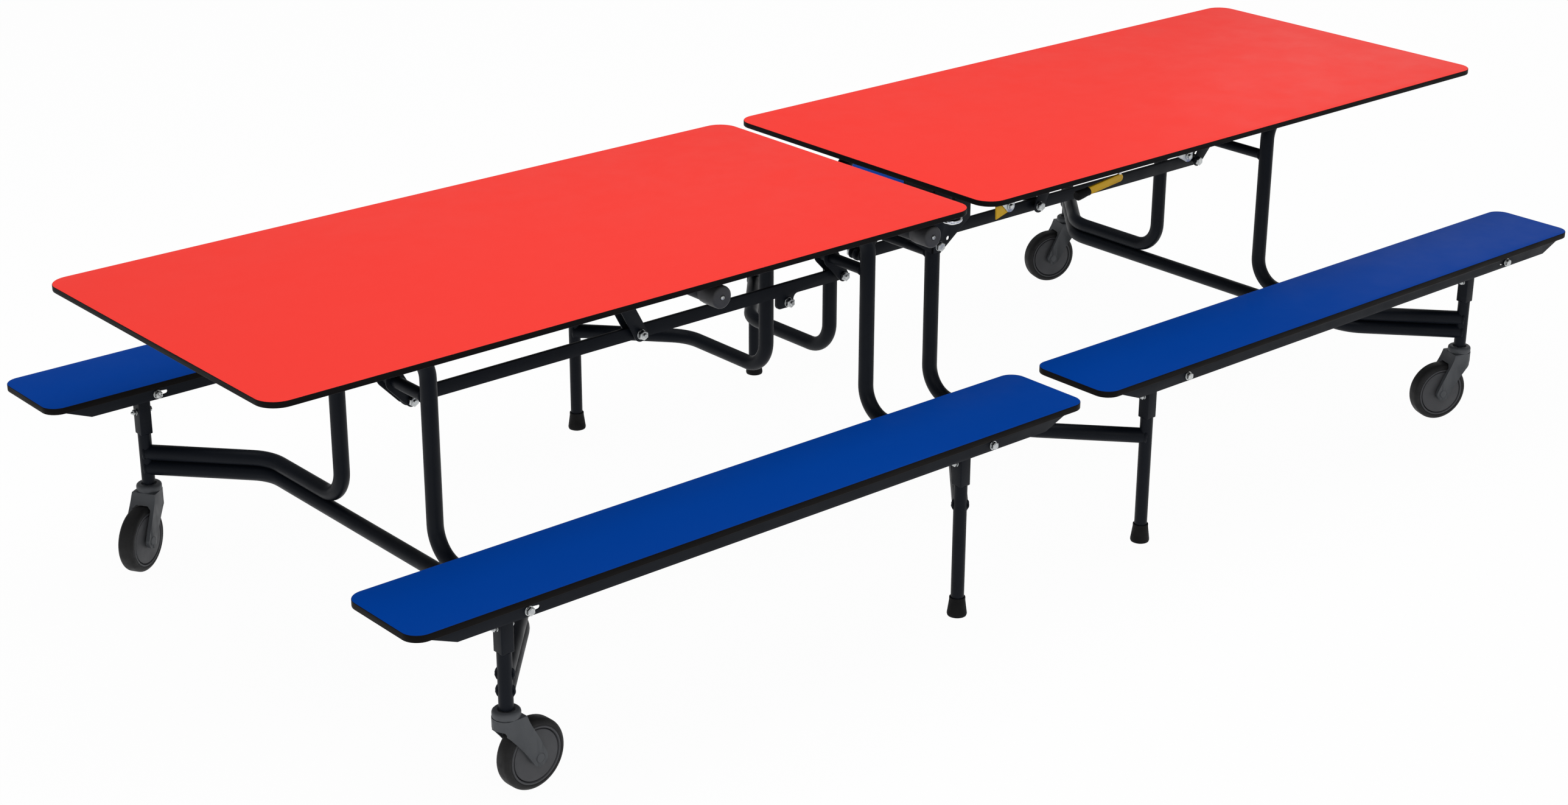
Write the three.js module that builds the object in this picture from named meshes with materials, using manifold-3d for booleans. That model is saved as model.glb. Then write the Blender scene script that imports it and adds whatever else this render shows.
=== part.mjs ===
// Mobile cafeteria table with four attached benches, folding up at its centre.
// Millimetres, +Z up, +X along the table, -Y the near side, origin on the floor under the centre.
import * as THREE from "three";
import { mergeVertices } from "three/addons/utils/BufferGeometryUtils.js";
import Module from "manifold-3d";

const wasm = await Module();
wasm.setup();

// Table tops: two laminate panels
const TOP_LENGTH = 1508;
const TOP_WIDTH = 738;
const TOP_THICKNESS = 13;
const TOP_HEIGHT = 685;
const TOP_CORNER = 50;
const TOP_GAP = 34;
const EASED_EDGE = 1.5;

// Benches: four laminate seats on folded steel pans
const BENCH_LENGTH = 1458;
const BENCH_WIDTH = 191;
const BENCH_THICKNESS = 13;
const BENCH_HEIGHT = 396;
const BENCH_CORNER = 30;
const BENCH_GAP = 54;
const BENCH_SPREAD = 584;
const PAN_WIDTH = 174;
const PAN_DEPTH = 22.7;
const PAN_WALL = 3;
const PAN_END_INSET = 58;
const PAN_END_SLOPE = 49;
const PAN_SLOT = 4;

// Steel frames: where the legs stand and how their tubes run
const LEG_TUBE = 30;
const POST_TUBE = 25;
const CROSS_TUBE = 22;
const INNER_UPRIGHT = 86;
const FRAME_SPAN = 1008;
const UPRIGHT_SPREAD = 150;
const POST_OFFSET = 163;
const LEG_LEVEL = 223;
const PLAN_BEND = 404;
const PLAN_BEND_RADIUS = 90;
const LEG_BEND_RADIUS = 60;
const NECK_DROP = 77;
const NECK_BEND_RADIUS = 60;
const CROSS_TUBE_DROP = 58;

// Pivots of the folding linkage
const TOP_PIVOT_DROP = 20;
const TOP_PIVOT_OFFSET = 64;
const RAIL_PIVOT_DROP = 44;
const RAIL_PIVOT_OFFSET = 32;
const BENCH_PIVOT_HEIGHT = 371;
const BENCH_PIVOT_OFFSET = 10;
const PIN = 10;
const PIN_END = 4;
const HEX_FLATS = 17;
const HEX_HEIGHT = 6.5;

// Folding rails, struts and the frame under each top
const RAIL_HEIGHT = 28;
const RAIL_THICKNESS = 8;
const RAIL_SPREAD = 31;
const RAIL_LUG = 141;
const RAIL_LUG_WIDTH = 42;
const RAIL_LUG_DEPTH = 25;
const RAIL_LUG_CORNER = 11;
const RAIL_LUG_BOLT = 14;
const LINK_WIDTH = 32;
const LINK_WALL = 3;
const LINK_EYE = 12;
const STRUT_EYE = 15;
const EAR_WALL = 3;
const EAR_WIDTH = 40;
const EAR_EYE = 12;
const ANCHOR_LENGTH = 60;
const TIE_WALL = 8;
const TIE_HEIGHT = 20;

// The stop bracket bolted to one inner upright of each half
const STOP_WALL = 3;
const STOP_BOLT_RISE = 18;
const STOP_TOP_DROP = 17;
const STOP_SHOULDER = 33;
const STOP_SHOULDER_OUT = 32;
const STOP_REACH = 82;
const STOP_TIP = 16;
const STOP_RISE = 42;
const STOP_FLANGE = 82;
const STOP_HOLE = 9;
const STOP_HOLE_OUT = 22;
const STOP_HOLE_UP = 12;

// Pivot heads on the bench posts
const HEAD_WIDTH = 23;
const HEAD_BOTTOM = 262;
const HEAD_BORE = 18.6;
const SPIGOT = 18;
const SPIGOT_LENGTH = 70;
const BUSH = 16;

// Rubber feet under the inner posts
const FOOT_HEIGHT = 40;
const FOOT_TOP = 32;
const FOOT_BASE = 36;
const FOOT_FLOOR = 8;

// Swivel casters under the outer posts
const WHEEL = 125;
const WHEEL_WIDTH = 33;
const WHEEL_TRAIL = 46;
const HUB = 96;
const RIM_STEP = 4;
const AXLE = 10;
const CASTER_HEIGHT = 160;
const COLLAR = 47;
const COLLAR_HEIGHT = 13;
const FORK_WIDTH = 54;
const FORK_ARM = 8;
const FORK_EYE = 15;
const FORK_EYE_END = 26;
const FORK_LEAN = 128;
const FORK_HEAD = 23;
const FORK_WAIST = 35;
const FORK_BOW = 6;
const STEM = 10;
const STEM_LENGTH = 40;
const SWIVEL_AT_REST = {
  left_near: 4,
  left_far: -148,
  right_near: 159,
  right_far: 162,
};

// Capped bumper tubes under the left top, the latch and its lever under the right one
const BUMPER = 42;
const BUMPER_LENGTH = 45;
const BUMPER_DROP = 33;
const BUMPER_FACE = 347;
const INNER_BUMPER = 101;
const OUTER_BUMPER = 610;
const BUMPER_TUBE = 37;
const BUMPER_TUBE_LENGTH = 110;
const BUMPER_WEB = 6;
const BUMPER_FLANGE = 50;
const BUMPER_FLANGE_WALL = 3;
const LATCH_X = 94;
const LATCH_LINE = 342;
const LATCH_PIVOT_DROP = 15;
const LATCH_WALL = 4;
const LATCH_EYE = 10;
const LATCH_HOOK = 34;
const LATCH_DROP = 20;
const LUG_WALL = 3;
const LUG_EYE = 13;
const LUG_TAIL = 28;
const LUG_FOOT = 24;
const LATCH_PIN = 6;
const LATCH_HEX_FLATS = 10;
const LATCH_HEX_HEIGHT = 5;
const LEVER_X = 414;
const LEVER_LINE = 334;
const LEVER_DROP = 23.5;
const LEVER_LENGTH = 88;
const LEVER_WIDTH = 16;
const LEVER_WALL = 6;
const LEVER_SLOPE = 6.5;
const LEVER_STUD = 8;
const LEVER_STUD_DEPTH = 7;
const GRIP = 20;
const GRIP_NECK = 16;
const GRIP_LENGTH = 34;

// Clearances and mesh fineness
const TOUCH = 0.3;
const RUNNING = 0.5;
const SIDE_PLAY = 1;
const TUBE_SIDES = 10;
const PIN_SIDES = 8;
const WHEEL_SIDES = 16;
const DEGREES_PER_BEND_STEP = 30;

// Places that follow from the sizes above
const outerUpright = INNER_UPRIGHT + FRAME_SPAN;
const innerPost = INNER_UPRIGHT + POST_OFFSET;
const outerPost = outerUpright + POST_OFFSET;
const topUnderside = TOP_HEIGHT - TOP_THICKNESS;
const topPivotHeight = topUnderside - TOP_PIVOT_DROP;
const neckLevel = topPivotHeight - NECK_DROP;
const crossTubeLevel = neckLevel - CROSS_TUBE_DROP;
const railPivotHeight = crossTubeLevel - RAIL_PIVOT_DROP;
const benchUnderside = BENCH_HEIGHT - BENCH_THICKNESS;
const lowerTubeLevel = LEG_LEVEL - LEG_TUBE - TOUCH;
const legRadius = LEG_TUBE / 2;
const pinBore = PIN + 2 * RUNNING;
const earInside = legRadius + SIDE_PLAY;
const earOutside = earInside + EAR_WALL;

const STEEL = { color: 0x1c1e23, roughness: 0.5, metalness: 0.4 };
const RED_LAMINATE = { color: 0xfa4b44, roughness: 0.45, metalness: 0 };
const BLUE_LAMINATE = { color: 0x003a8e, roughness: 0.45, metalness: 0 };
const BLACK_RUBBER = { color: 0x0b0b0c, roughness: 0.85, metalness: 0 };
const GREY_PLASTIC = { color: 0x55585c, roughness: 0.55, metalness: 0 };
const DARK_TREAD = { color: 0x323232, roughness: 0.8, metalness: 0 };
const YELLOW_PAINT = { color: 0xdca505, roughness: 0.4, metalness: 0 };
const ZINC = { color: 0xb9bcbf, roughness: 0.3, metalness: 1 };

const model = new THREE.Group();

// Solids: turning three.js geometry into closed bodies and back

function solidFrom(geometry) {
  const bare = geometry.clone();
  bare.deleteAttribute("normal");
  bare.deleteAttribute("uv");
  const merged = mergeVertices(bare, 1e-4);
  const vertProperties = merged.attributes.position.array;
  const triVerts = new Uint32Array(merged.index.array);
  const body = new wasm.Manifold(new wasm.Mesh({ numProp: 3, vertProperties, triVerts }));
  if (body.volume() > 0) return body;
  triVerts.reverse();
  return new wasm.Manifold(new wasm.Mesh({ numProp: 3, vertProperties, triVerts }));
}

function geometryFrom(body) {
  const { vertProperties, triVerts } = body.getMesh();
  const geometry = new THREE.BufferGeometry();
  geometry.setAttribute("position", new THREE.BufferAttribute(vertProperties, 3));
  geometry.setIndex(new THREE.BufferAttribute(triVerts, 1));
  const faceted = geometry.toNonIndexed();
  faceted.computeVertexNormals();
  return faceted;
}

function join(...bodies) {
  return bodies.reduce((whole, body) => whole.add(body));
}

function cut(body, ...tools) {
  return tools.reduce((rest, tool) => rest.subtract(tool), body);
}

function addNode(group, name, body, finish) {
  const mesh = new THREE.Mesh(geometryFrom(body), new THREE.MeshStandardMaterial(finish));
  mesh.name = name;
  group.add(mesh);
  return mesh;
}

// Basic forms

function box(x0, x1, y0, y1, z0, z1) {
  const geometry = new THREE.BoxGeometry(x1 - x0, y1 - y0, z1 - z0);
  geometry.translate((x0 + x1) / 2, (y0 + y1) / 2, (z0 + z1) / 2);
  return solidFrom(geometry);
}

function roundBar(axis, at, diameter, from, to, sides = TUBE_SIDES) {
  const geometry = new THREE.CylinderGeometry(diameter / 2, diameter / 2, to - from, sides);
  const middle = (from + to) / 2;
  if (axis === "x") {
    geometry.rotateZ(-Math.PI / 2);
    geometry.translate(middle, at[0], at[1]);
  } else if (axis === "y") {
    geometry.translate(at[0], middle, at[1]);
  } else {
    geometry.rotateX(Math.PI / 2);
    geometry.translate(at[0], at[1], middle);
  }
  return solidFrom(geometry);
}

function pivotBore(at, from, to) {
  return roundBar("y", at, pinBore, from, to, PIN_SIDES);
}

function hexagon(at, flats, from, to) {
  return roundBar("y", at, (flats * 2) / Math.sqrt(3), from, to, 6);
}

// A bolt along Y with its head at the low end and its nut at the high end
function boltAlongY(at, low, high) {
  return join(
    roundBar("y", at, PIN, low - HEX_HEIGHT / 2, high + HEX_HEIGHT / 2, PIN_SIDES),
    hexagon(at, HEX_FLATS, low - HEX_HEIGHT, low),
    hexagon(at, HEX_FLATS, high, high + HEX_HEIGHT),
  );
}

// A plate drawn in X and Z and standing between two Y values
function uprightPlate(shape, y0, y1, curveSegments = 3) {
  const geometry = new THREE.ExtrudeGeometry(shape, { depth: y1 - y0, bevelEnabled: false, curveSegments });
  geometry.rotateX(Math.PI / 2);
  geometry.translate(0, y1, 0);
  return solidFrom(geometry);
}

function polygon(points) {
  return new THREE.Shape(points.map(([x, z]) => new THREE.Vector2(x, z)));
}

// The outline of a link with a round eye at each end
function linkOutline(a, radiusA, b, radiusB) {
  const along = Math.atan2(b[1] - a[1], b[0] - a[0]);
  const spread = Math.acos((radiusA - radiusB) / Math.hypot(b[0] - a[0], b[1] - a[1]));
  const shape = new THREE.Shape();
  shape.absarc(a[0], a[1], radiusA, along + spread, along - spread + 2 * Math.PI, false);
  shape.absarc(b[0], b[1], radiusB, along - spread, along + spread, false);
  return shape;
}

function roundedRectangle(x0, x1, y0, y1, radius) {
  const shape = new THREE.Shape();
  shape.absarc(x1 - radius, y1 - radius, radius, 0, Math.PI / 2, false);
  shape.absarc(x0 + radius, y1 - radius, radius, Math.PI / 2, Math.PI, false);
  shape.absarc(x0 + radius, y0 + radius, radius, Math.PI, 1.5 * Math.PI, false);
  shape.absarc(x1 - radius, y0 + radius, radius, 1.5 * Math.PI, 2 * Math.PI, false);
  return shape;
}

// A laminate panel with round corners and eased edges, from its underside up
function panel(x0, x1, y0, y1, underside, thickness, corner) {
  const inner = roundedRectangle(
    x0 + EASED_EDGE,
    x1 - EASED_EDGE,
    y0 + EASED_EDGE,
    y1 - EASED_EDGE,
    corner - EASED_EDGE,
  );
  const geometry = new THREE.ExtrudeGeometry(inner, {
    depth: thickness - 2 * EASED_EDGE,
    bevelThickness: EASED_EDGE,
    bevelSize: EASED_EDGE,
    bevelSegments: 1,
    curveSegments: 2,
  });
  geometry.translate(0, 0, underside + EASED_EDGE);
  return solidFrom(geometry);
}

// Bent tubes: a path with a ring at each end and at each step of a bend
class BentPath extends THREE.Curve {
  constructor(corners, radii) {
    super();
    this.stations = [];
    const last = corners.length - 1;
    const heading = (i) => corners[i + 1].clone().sub(corners[i]).normalize();
    this.stations.push({ point: corners[0], tangent: heading(0) });
    for (let i = 1; i < last; i++) this.addBend(corners[i], heading(i - 1), heading(i), radii[i - 1]);
    this.stations.push({ point: corners[last], tangent: heading(last - 1) });
  }

  addBend(corner, before, after, radius) {
    const turn = before.angleTo(after);
    const inward = after.clone().addScaledVector(before, -before.dot(after)).normalize();
    const start = corner.clone().addScaledVector(before, -radius * Math.tan(turn / 2));
    const steps = Math.ceil(THREE.MathUtils.radToDeg(turn) / DEGREES_PER_BEND_STEP);
    for (let i = 0; i <= steps; i++) {
      const angle = (turn * i) / steps;
      const point = start
        .clone()
        .addScaledVector(before, radius * Math.sin(angle))
        .addScaledVector(inward, radius * (1 - Math.cos(angle)));
      const tangent = before
        .clone()
        .multiplyScalar(Math.cos(angle))
        .addScaledVector(inward, Math.sin(angle));
      this.stations.push({ point, tangent });
    }
  }

  station(u) {
    return this.stations[Math.round(u * (this.stations.length - 1))];
  }

  getPoint(u) {
    return this.station(u).point.clone();
  }

  getPointAt(u) {
    return this.getPoint(u);
  }

  getTangentAt(u) {
    return this.station(u).tangent.clone();
  }
}

function bentTube(corners, radii, diameter) {
  const path = new BentPath(
    corners.map((corner) => new THREE.Vector3(...corner)),
    radii,
  );
  const section = new THREE.Shape();
  for (let i = 0; i < TUBE_SIDES; i++) {
    const angle = (2 * Math.PI * i) / TUBE_SIDES;
    const corner = [(diameter / 2) * Math.cos(angle), (diameter / 2) * Math.sin(angle)];
    if (i === 0) section.moveTo(...corner);
    else section.lineTo(...corner);
  }
  const geometry = new THREE.ExtrudeGeometry(section, {
    steps: path.stations.length - 1,
    extrudePath: path,
    bevelEnabled: false,
  });
  return solidFrom(geometry);
}

// Legs: a post under the bench, a tube bent in to the upright, and a neck that leans out to the
// pivot eye under the top. side is -1 or 1 along Y.
function leg(uprightX, postX, side, postBottom) {
  const post = [postX, side * BENCH_SPREAD];
  const uprightY = side * UPRIGHT_SPREAD;
  const eye = [uprightX + TOP_PIVOT_OFFSET, topPivotHeight];
  const tube = bentTube(
    [
      [...post, LEG_LEVEL],
      [uprightX, side * PLAN_BEND, LEG_LEVEL],
      [uprightX, uprightY, LEG_LEVEL],
      [uprightX, uprightY, neckLevel],
      [eye[0], uprightY, eye[1]],
    ],
    [PLAN_BEND_RADIUS, LEG_BEND_RADIUS, NECK_BEND_RADIUS],
    LEG_TUBE,
  );
  const pinReach = earOutside + PIN_END;
  return join(
    tube,
    roundBar("z", post, POST_TUBE, postBottom, HEAD_BOTTOM - TOUCH),
    roundBar("z", post, SPIGOT, LEG_LEVEL, HEAD_BOTTOM + SPIGOT_LENGTH, PIN_SIDES),
    roundBar("y", eye, LEG_TUBE, uprightY - legRadius, uprightY + legRadius),
    roundBar("y", eye, PIN, uprightY - pinReach, uprightY + pinReach, PIN_SIDES),
  );
}

function casterLeg(side) {
  const stemBore = roundBar(
    "z",
    [outerPost, side * BENCH_SPREAD],
    STEM + 2 * RUNNING,
    0,
    CASTER_HEIGHT + STEM_LENGTH + SIDE_PLAY,
  );
  return cut(leg(outerUpright, outerPost, side, CASTER_HEIGHT + TOUCH), stemBore);
}

function footLeg(side) {
  return leg(INNER_UPRIGHT, innerPost, side, FOOT_FLOOR + TOUCH);
}

// The folded stop bracket on the near face of an inner upright: a front plate and an inner side flange
function stopBracket() {
  const face = -UPRIGHT_SPREAD - legRadius;
  const inner = INNER_UPRIGHT - legRadius - STOP_WALL;
  const step = INNER_UPRIGHT + STOP_SHOULDER_OUT;
  const outer = INNER_UPRIGHT + STOP_REACH;
  const boltHeight = crossTubeLevel + STOP_BOLT_RISE;
  const bottom = boltHeight - STOP_TIP;
  const top = topUnderside - STOP_TOP_DROP;
  const shoulder = top - STOP_SHOULDER;
  const front = polygon([
    [inner, bottom],
    [INNER_UPRIGHT + STOP_TIP / 2, bottom],
    [outer, bottom + STOP_RISE + STOP_TIP],
    [outer, shoulder],
    [step, shoulder],
    [step, top],
    [inner, top],
  ]);
  const flange = new THREE.Shape();
  flange.moveTo(face - STOP_WALL, bottom);
  flange.lineTo(face + STOP_FLANGE, bottom + STOP_TIP);
  flange.lineTo(face + STOP_FLANGE, top);
  flange.lineTo(face - STOP_WALL, top);
  const flangeGeometry = new THREE.ExtrudeGeometry(flange, { depth: STOP_WALL, bevelEnabled: false });
  flangeGeometry.rotateX(Math.PI / 2);
  flangeGeometry.rotateZ(Math.PI / 2);
  flangeGeometry.translate(inner, 0, 0);
  const hole = roundBar(
    "y",
    [INNER_UPRIGHT + STOP_HOLE_OUT, boltHeight + STOP_HOLE_UP],
    STOP_HOLE,
    face - 2 * STOP_WALL,
    face + STOP_WALL,
    PIN_SIDES,
  );
  const bolt = [INNER_UPRIGHT, boltHeight];
  const plate = cut(uprightPlate(front, face - STOP_WALL, face + SIDE_PLAY), hole);
  return join(
    plate,
    solidFrom(flangeGeometry),
    hexagon(bolt, HEX_FLATS, face - STOP_WALL - HEX_HEIGHT, face),
  );
}

function lowerTube() {
  const corners = [
    [outerPost, -BENCH_SPREAD, lowerTubeLevel],
    [outerUpright, -PLAN_BEND, lowerTubeLevel],
    [outerUpright, PLAN_BEND, lowerTubeLevel],
    [outerPost, BENCH_SPREAD, lowerTubeLevel],
  ];
  const posts = [-1, 1].map((side) =>
    roundBar("z", [outerPost, side * BENCH_SPREAD], POST_TUBE + 2 * TOUCH, 0, HEAD_BOTTOM),
  );
  return cut(bentTube(corners, [PLAN_BEND_RADIUS, PLAN_BEND_RADIUS], LEG_TUBE), ...posts);
}

// The tube across the uprights, with the two plates and the bolt that carry one end of the rail
function crossTube(uprightX) {
  const centre = [uprightX, crossTubeLevel];
  const pivot = [uprightX - RAIL_PIVOT_OFFSET, railPivotHeight];
  const plateLow = RAIL_SPREAD - LINK_WIDTH / 2;
  const plateHigh = RAIL_SPREAD + LINK_WIDTH / 2;
  const outline = linkOutline(centre, CROSS_TUBE / 2 - SIDE_PLAY, pivot, LINK_EYE);
  const uprights = [-1, 1].map((side) =>
    roundBar("z", [uprightX, side * UPRIGHT_SPREAD], LEG_TUBE + 2 * TOUCH, LEG_LEVEL, TOP_HEIGHT),
  );
  const body = join(
    roundBar("y", centre, CROSS_TUBE, -UPRIGHT_SPREAD, UPRIGHT_SPREAD),
    uprightPlate(outline, plateLow, plateLow + LINK_WALL),
    uprightPlate(outline, plateHigh - LINK_WALL, plateHigh),
    boltAlongY(pivot, plateLow, plateHigh),
  );
  return cut(body, ...uprights);
}

// The bar on edge that holds the two inner frames a fixed distance apart, coped to their cross tubes
function centreTie() {
  const bar = box(
    -INNER_UPRIGHT,
    INNER_UPRIGHT,
    -TIE_WALL / 2,
    TIE_WALL / 2,
    crossTubeLevel - TIE_HEIGHT / 2,
    crossTubeLevel + TIE_HEIGHT / 2,
  );
  const tubes = [-INNER_UPRIGHT, INNER_UPRIGHT].map((x) =>
    roundBar("y", [x, crossTubeLevel], CROSS_TUBE + 2 * TOUCH, -TIE_WALL, TIE_WALL),
  );
  return cut(bar, ...tubes);
}

// The folding rail: a flat bar bored for both frames and for the strut. Only the left one has a lug.
function rail(hasLug) {
  const inner = INNER_UPRIGHT - RAIL_PIVOT_OFFSET;
  const outer = outerUpright - RAIL_PIVOT_OFFSET;
  const half = RAIL_HEIGHT / 2;
  const lower = railPivotHeight - half;
  const lug = inner + RAIL_LUG;
  const near = lug - RAIL_LUG_WIDTH / 2;
  const far = lug + RAIL_LUG_WIDTH / 2;
  const corner = lower - RAIL_LUG_DEPTH + RAIL_LUG_CORNER;
  const shape = new THREE.Shape();
  shape.absarc(outer, railPivotHeight, half, -Math.PI / 2, Math.PI / 2, false);
  shape.absarc(inner, railPivotHeight, half, Math.PI / 2, 1.5 * Math.PI, false);
  if (hasLug) {
    shape.lineTo(near - RAIL_LUG_CORNER, lower);
    shape.quadraticCurveTo(near, lower, near, corner);
    shape.absarc(near + RAIL_LUG_CORNER, corner, RAIL_LUG_CORNER, Math.PI, 1.5 * Math.PI, false);
    shape.absarc(far - RAIL_LUG_CORNER, corner, RAIL_LUG_CORNER, 1.5 * Math.PI, 2 * Math.PI, false);
    shape.lineTo(far, lower);
  }
  const bores = [inner, (inner + outer) / 2, outer].map((x) =>
    pivotBore([x, railPivotHeight], RAIL_SPREAD - RAIL_THICKNESS, RAIL_SPREAD + RAIL_THICKNESS),
  );
  const back = RAIL_SPREAD - RAIL_THICKNESS / 2;
  const front = RAIL_SPREAD + RAIL_THICKNESS / 2;
  const bar = cut(uprightPlate(shape, back, front), ...bores);
  if (!hasLug) return bar;
  return join(bar, boltAlongY([near + RAIL_LUG_BOLT, corner], back, front));
}

// The strut runs parallel to the line from a rail pivot to the top pivot of the same frame
const strutFoot = [(INNER_UPRIGHT + outerUpright) / 2 - RAIL_PIVOT_OFFSET, railPivotHeight];
const strutHead = [strutFoot[0] + RAIL_PIVOT_OFFSET + TOP_PIVOT_OFFSET, topPivotHeight];

function strut() {
  const outline = linkOutline(strutFoot, STRUT_EYE, strutHead, STRUT_EYE);
  const low = RAIL_SPREAD - LINK_WIDTH / 2;
  const high = RAIL_SPREAD + LINK_WIDTH / 2;
  return join(
    uprightPlate(outline, low, low + LINK_WALL),
    uprightPlate(outline, high - LINK_WALL, high),
    boltAlongY(strutFoot, low, high),
    boltAlongY(strutHead, low, high),
  );
}

// An ear that hangs from the plate under a top and goes round one pivot
function ear(pivot, y0, y1) {
  const top = topUnderside - TOUCH;
  const shape = new THREE.Shape();
  shape.moveTo(pivot[0] + EAR_WIDTH / 2, top);
  shape.lineTo(pivot[0] - EAR_WIDTH / 2, top);
  shape.absarc(pivot[0], pivot[1], EAR_EYE, Math.PI, 2 * Math.PI, false);
  const bore = pivotBore(pivot, y0 - EAR_WALL, y1 + EAR_WALL);
  return cut(uprightPlate(shape, y0, y1, 2), bore);
}

// The folded plate under a top that carries it on the two pivot eyes of one frame
function hingeChannel(uprightX) {
  const top = topUnderside - TOUCH;
  const pivot = [uprightX + TOP_PIVOT_OFFSET, topPivotHeight];
  const reach = UPRIGHT_SPREAD + earOutside;
  const parts = [
    box(pivot[0] - EAR_WIDTH / 2, pivot[0] + EAR_WIDTH / 2, -reach, reach, top - EAR_WALL, top),
  ];
  for (const middle of [-UPRIGHT_SPREAD, UPRIGHT_SPREAD]) {
    parts.push(ear(pivot, middle - earOutside, middle - earInside));
    parts.push(ear(pivot, middle + earInside, middle + earOutside));
  }
  return join(...parts);
}

// The lug under a top that the strut's upper bolt goes through
function strutAnchor() {
  const top = topUnderside - TOUCH;
  const foot = box(
    strutHead[0] - ANCHOR_LENGTH / 2,
    strutHead[0] + ANCHOR_LENGTH / 2,
    RAIL_SPREAD - LINK_WIDTH / 2,
    RAIL_SPREAD + LINK_WIDTH / 2,
    top - EAR_WALL,
    top,
  );
  return join(foot, ear(strutHead, RAIL_SPREAD - RAIL_THICKNESS / 2, RAIL_SPREAD + RAIL_THICKNESS / 2));
}

function tableTop() {
  const inner = TOP_GAP / 2;
  return panel(
    inner,
    inner + TOP_LENGTH,
    -TOP_WIDTH / 2,
    TOP_WIDTH / 2,
    topUnderside,
    TOP_THICKNESS,
    TOP_CORNER,
  );
}

// Benches

function benchTop(side) {
  const inner = BENCH_GAP / 2;
  const middle = side * BENCH_SPREAD;
  return panel(
    inner,
    inner + BENCH_LENGTH,
    middle - BENCH_WIDTH / 2,
    middle + BENCH_WIDTH / 2,
    benchUnderside,
    BENCH_THICKNESS,
    BENCH_CORNER,
  );
}

// The folded pan under a bench: a shallow channel with sloping ends, a round bore and a slot
function benchPan(side) {
  const middle = side * BENCH_SPREAD;
  const top = benchUnderside - TOUCH;
  const bottom = top - PAN_DEPTH;
  const x0 = BENCH_GAP / 2 + PAN_END_INSET;
  const x1 = BENCH_GAP / 2 + BENCH_LENGTH - PAN_END_INSET;
  const outline = polygon([
    [x0 + PAN_END_SLOPE, bottom],
    [x1 - PAN_END_SLOPE, bottom],
    [x1, top - PAN_WALL],
    [x1, top],
    [x0, top],
    [x0, top - PAN_WALL],
  ]);
  const inside = PAN_WIDTH / 2 - PAN_WALL;
  const hollow = box(0, outerPost + BENCH_LENGTH, middle - inside, middle + inside, 0, top - PAN_WALL);
  const boltAt = (x) => pivotBore([x, BENCH_PIVOT_HEIGHT], middle - PAN_WIDTH, middle + PAN_WIDTH);
  const slotInner = innerPost + BENCH_PIVOT_OFFSET;
  const slotOuter = slotInner + PAN_SLOT;
  const slot = box(
    slotInner,
    slotOuter,
    middle - PAN_WIDTH,
    middle + PAN_WIDTH,
    BENCH_PIVOT_HEIGHT - pinBore / 2,
    BENCH_PIVOT_HEIGHT + pinBore / 2,
  );
  const channel = cut(uprightPlate(outline, middle - PAN_WIDTH / 2, middle + PAN_WIDTH / 2), hollow);
  return cut(channel, boltAt(outerPost + BENCH_PIVOT_OFFSET), boltAt(slotOuter), boltAt(slotInner), slot);
}

// A square head clamped on a bench post, with the bush and the long bolt that the bench turns on
function pivotHead(postX, side) {
  const y = side * BENCH_SPREAD;
  const half = HEAD_WIDTH / 2;
  const pivot = [postX + BENCH_PIVOT_OFFSET, BENCH_PIVOT_HEIGHT];
  const bushReach = PAN_WIDTH / 2 - PAN_WALL - RUNNING;
  const pinReach = PAN_WIDTH / 2 + PIN_END;
  const headTop = BENCH_PIVOT_HEIGHT + BUSH / 2 - SIDE_PLAY;
  const bore = roundBar("z", [postX, y], HEAD_BORE, 0, HEAD_BOTTOM + SPIGOT_LENGTH + SIDE_PLAY, PIN_SIDES);
  const square = cut(box(postX - half, postX + half, y - half, y + half, HEAD_BOTTOM, headTop), bore);
  return join(
    square,
    roundBar("y", pivot, BUSH, y - bushReach, y + bushReach, PIN_SIDES),
    roundBar("y", pivot, PIN, y - pinReach, y + pinReach, PIN_SIDES),
  );
}

// A tapered rubber foot with a socket for its post
function foot(side) {
  const socket = POST_TUBE / 2 + TOUCH;
  const profile = [
    [0, 0],
    [FOOT_BASE / 2 - 2, 0],
    [FOOT_BASE / 2, 2],
    [FOOT_BASE / 2, 6],
    [FOOT_TOP / 2, FOOT_HEIGHT - 3],
    [FOOT_TOP / 2 - 1, FOOT_HEIGHT],
    [socket, FOOT_HEIGHT],
    [socket, FOOT_FLOOR],
    [0, FOOT_FLOOR],
  ];
  const geometry = new THREE.LatheGeometry(
    profile.map(([r, z]) => new THREE.Vector2(r, z)),
    TUBE_SIDES,
  );
  geometry.rotateX(Math.PI / 2);
  geometry.translate(innerPost, side * BENCH_SPREAD, 0);
  return solidFrom(geometry);
}

// Casters, drawn with the swivel axis on Z and the wheel trailing towards +X

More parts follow.
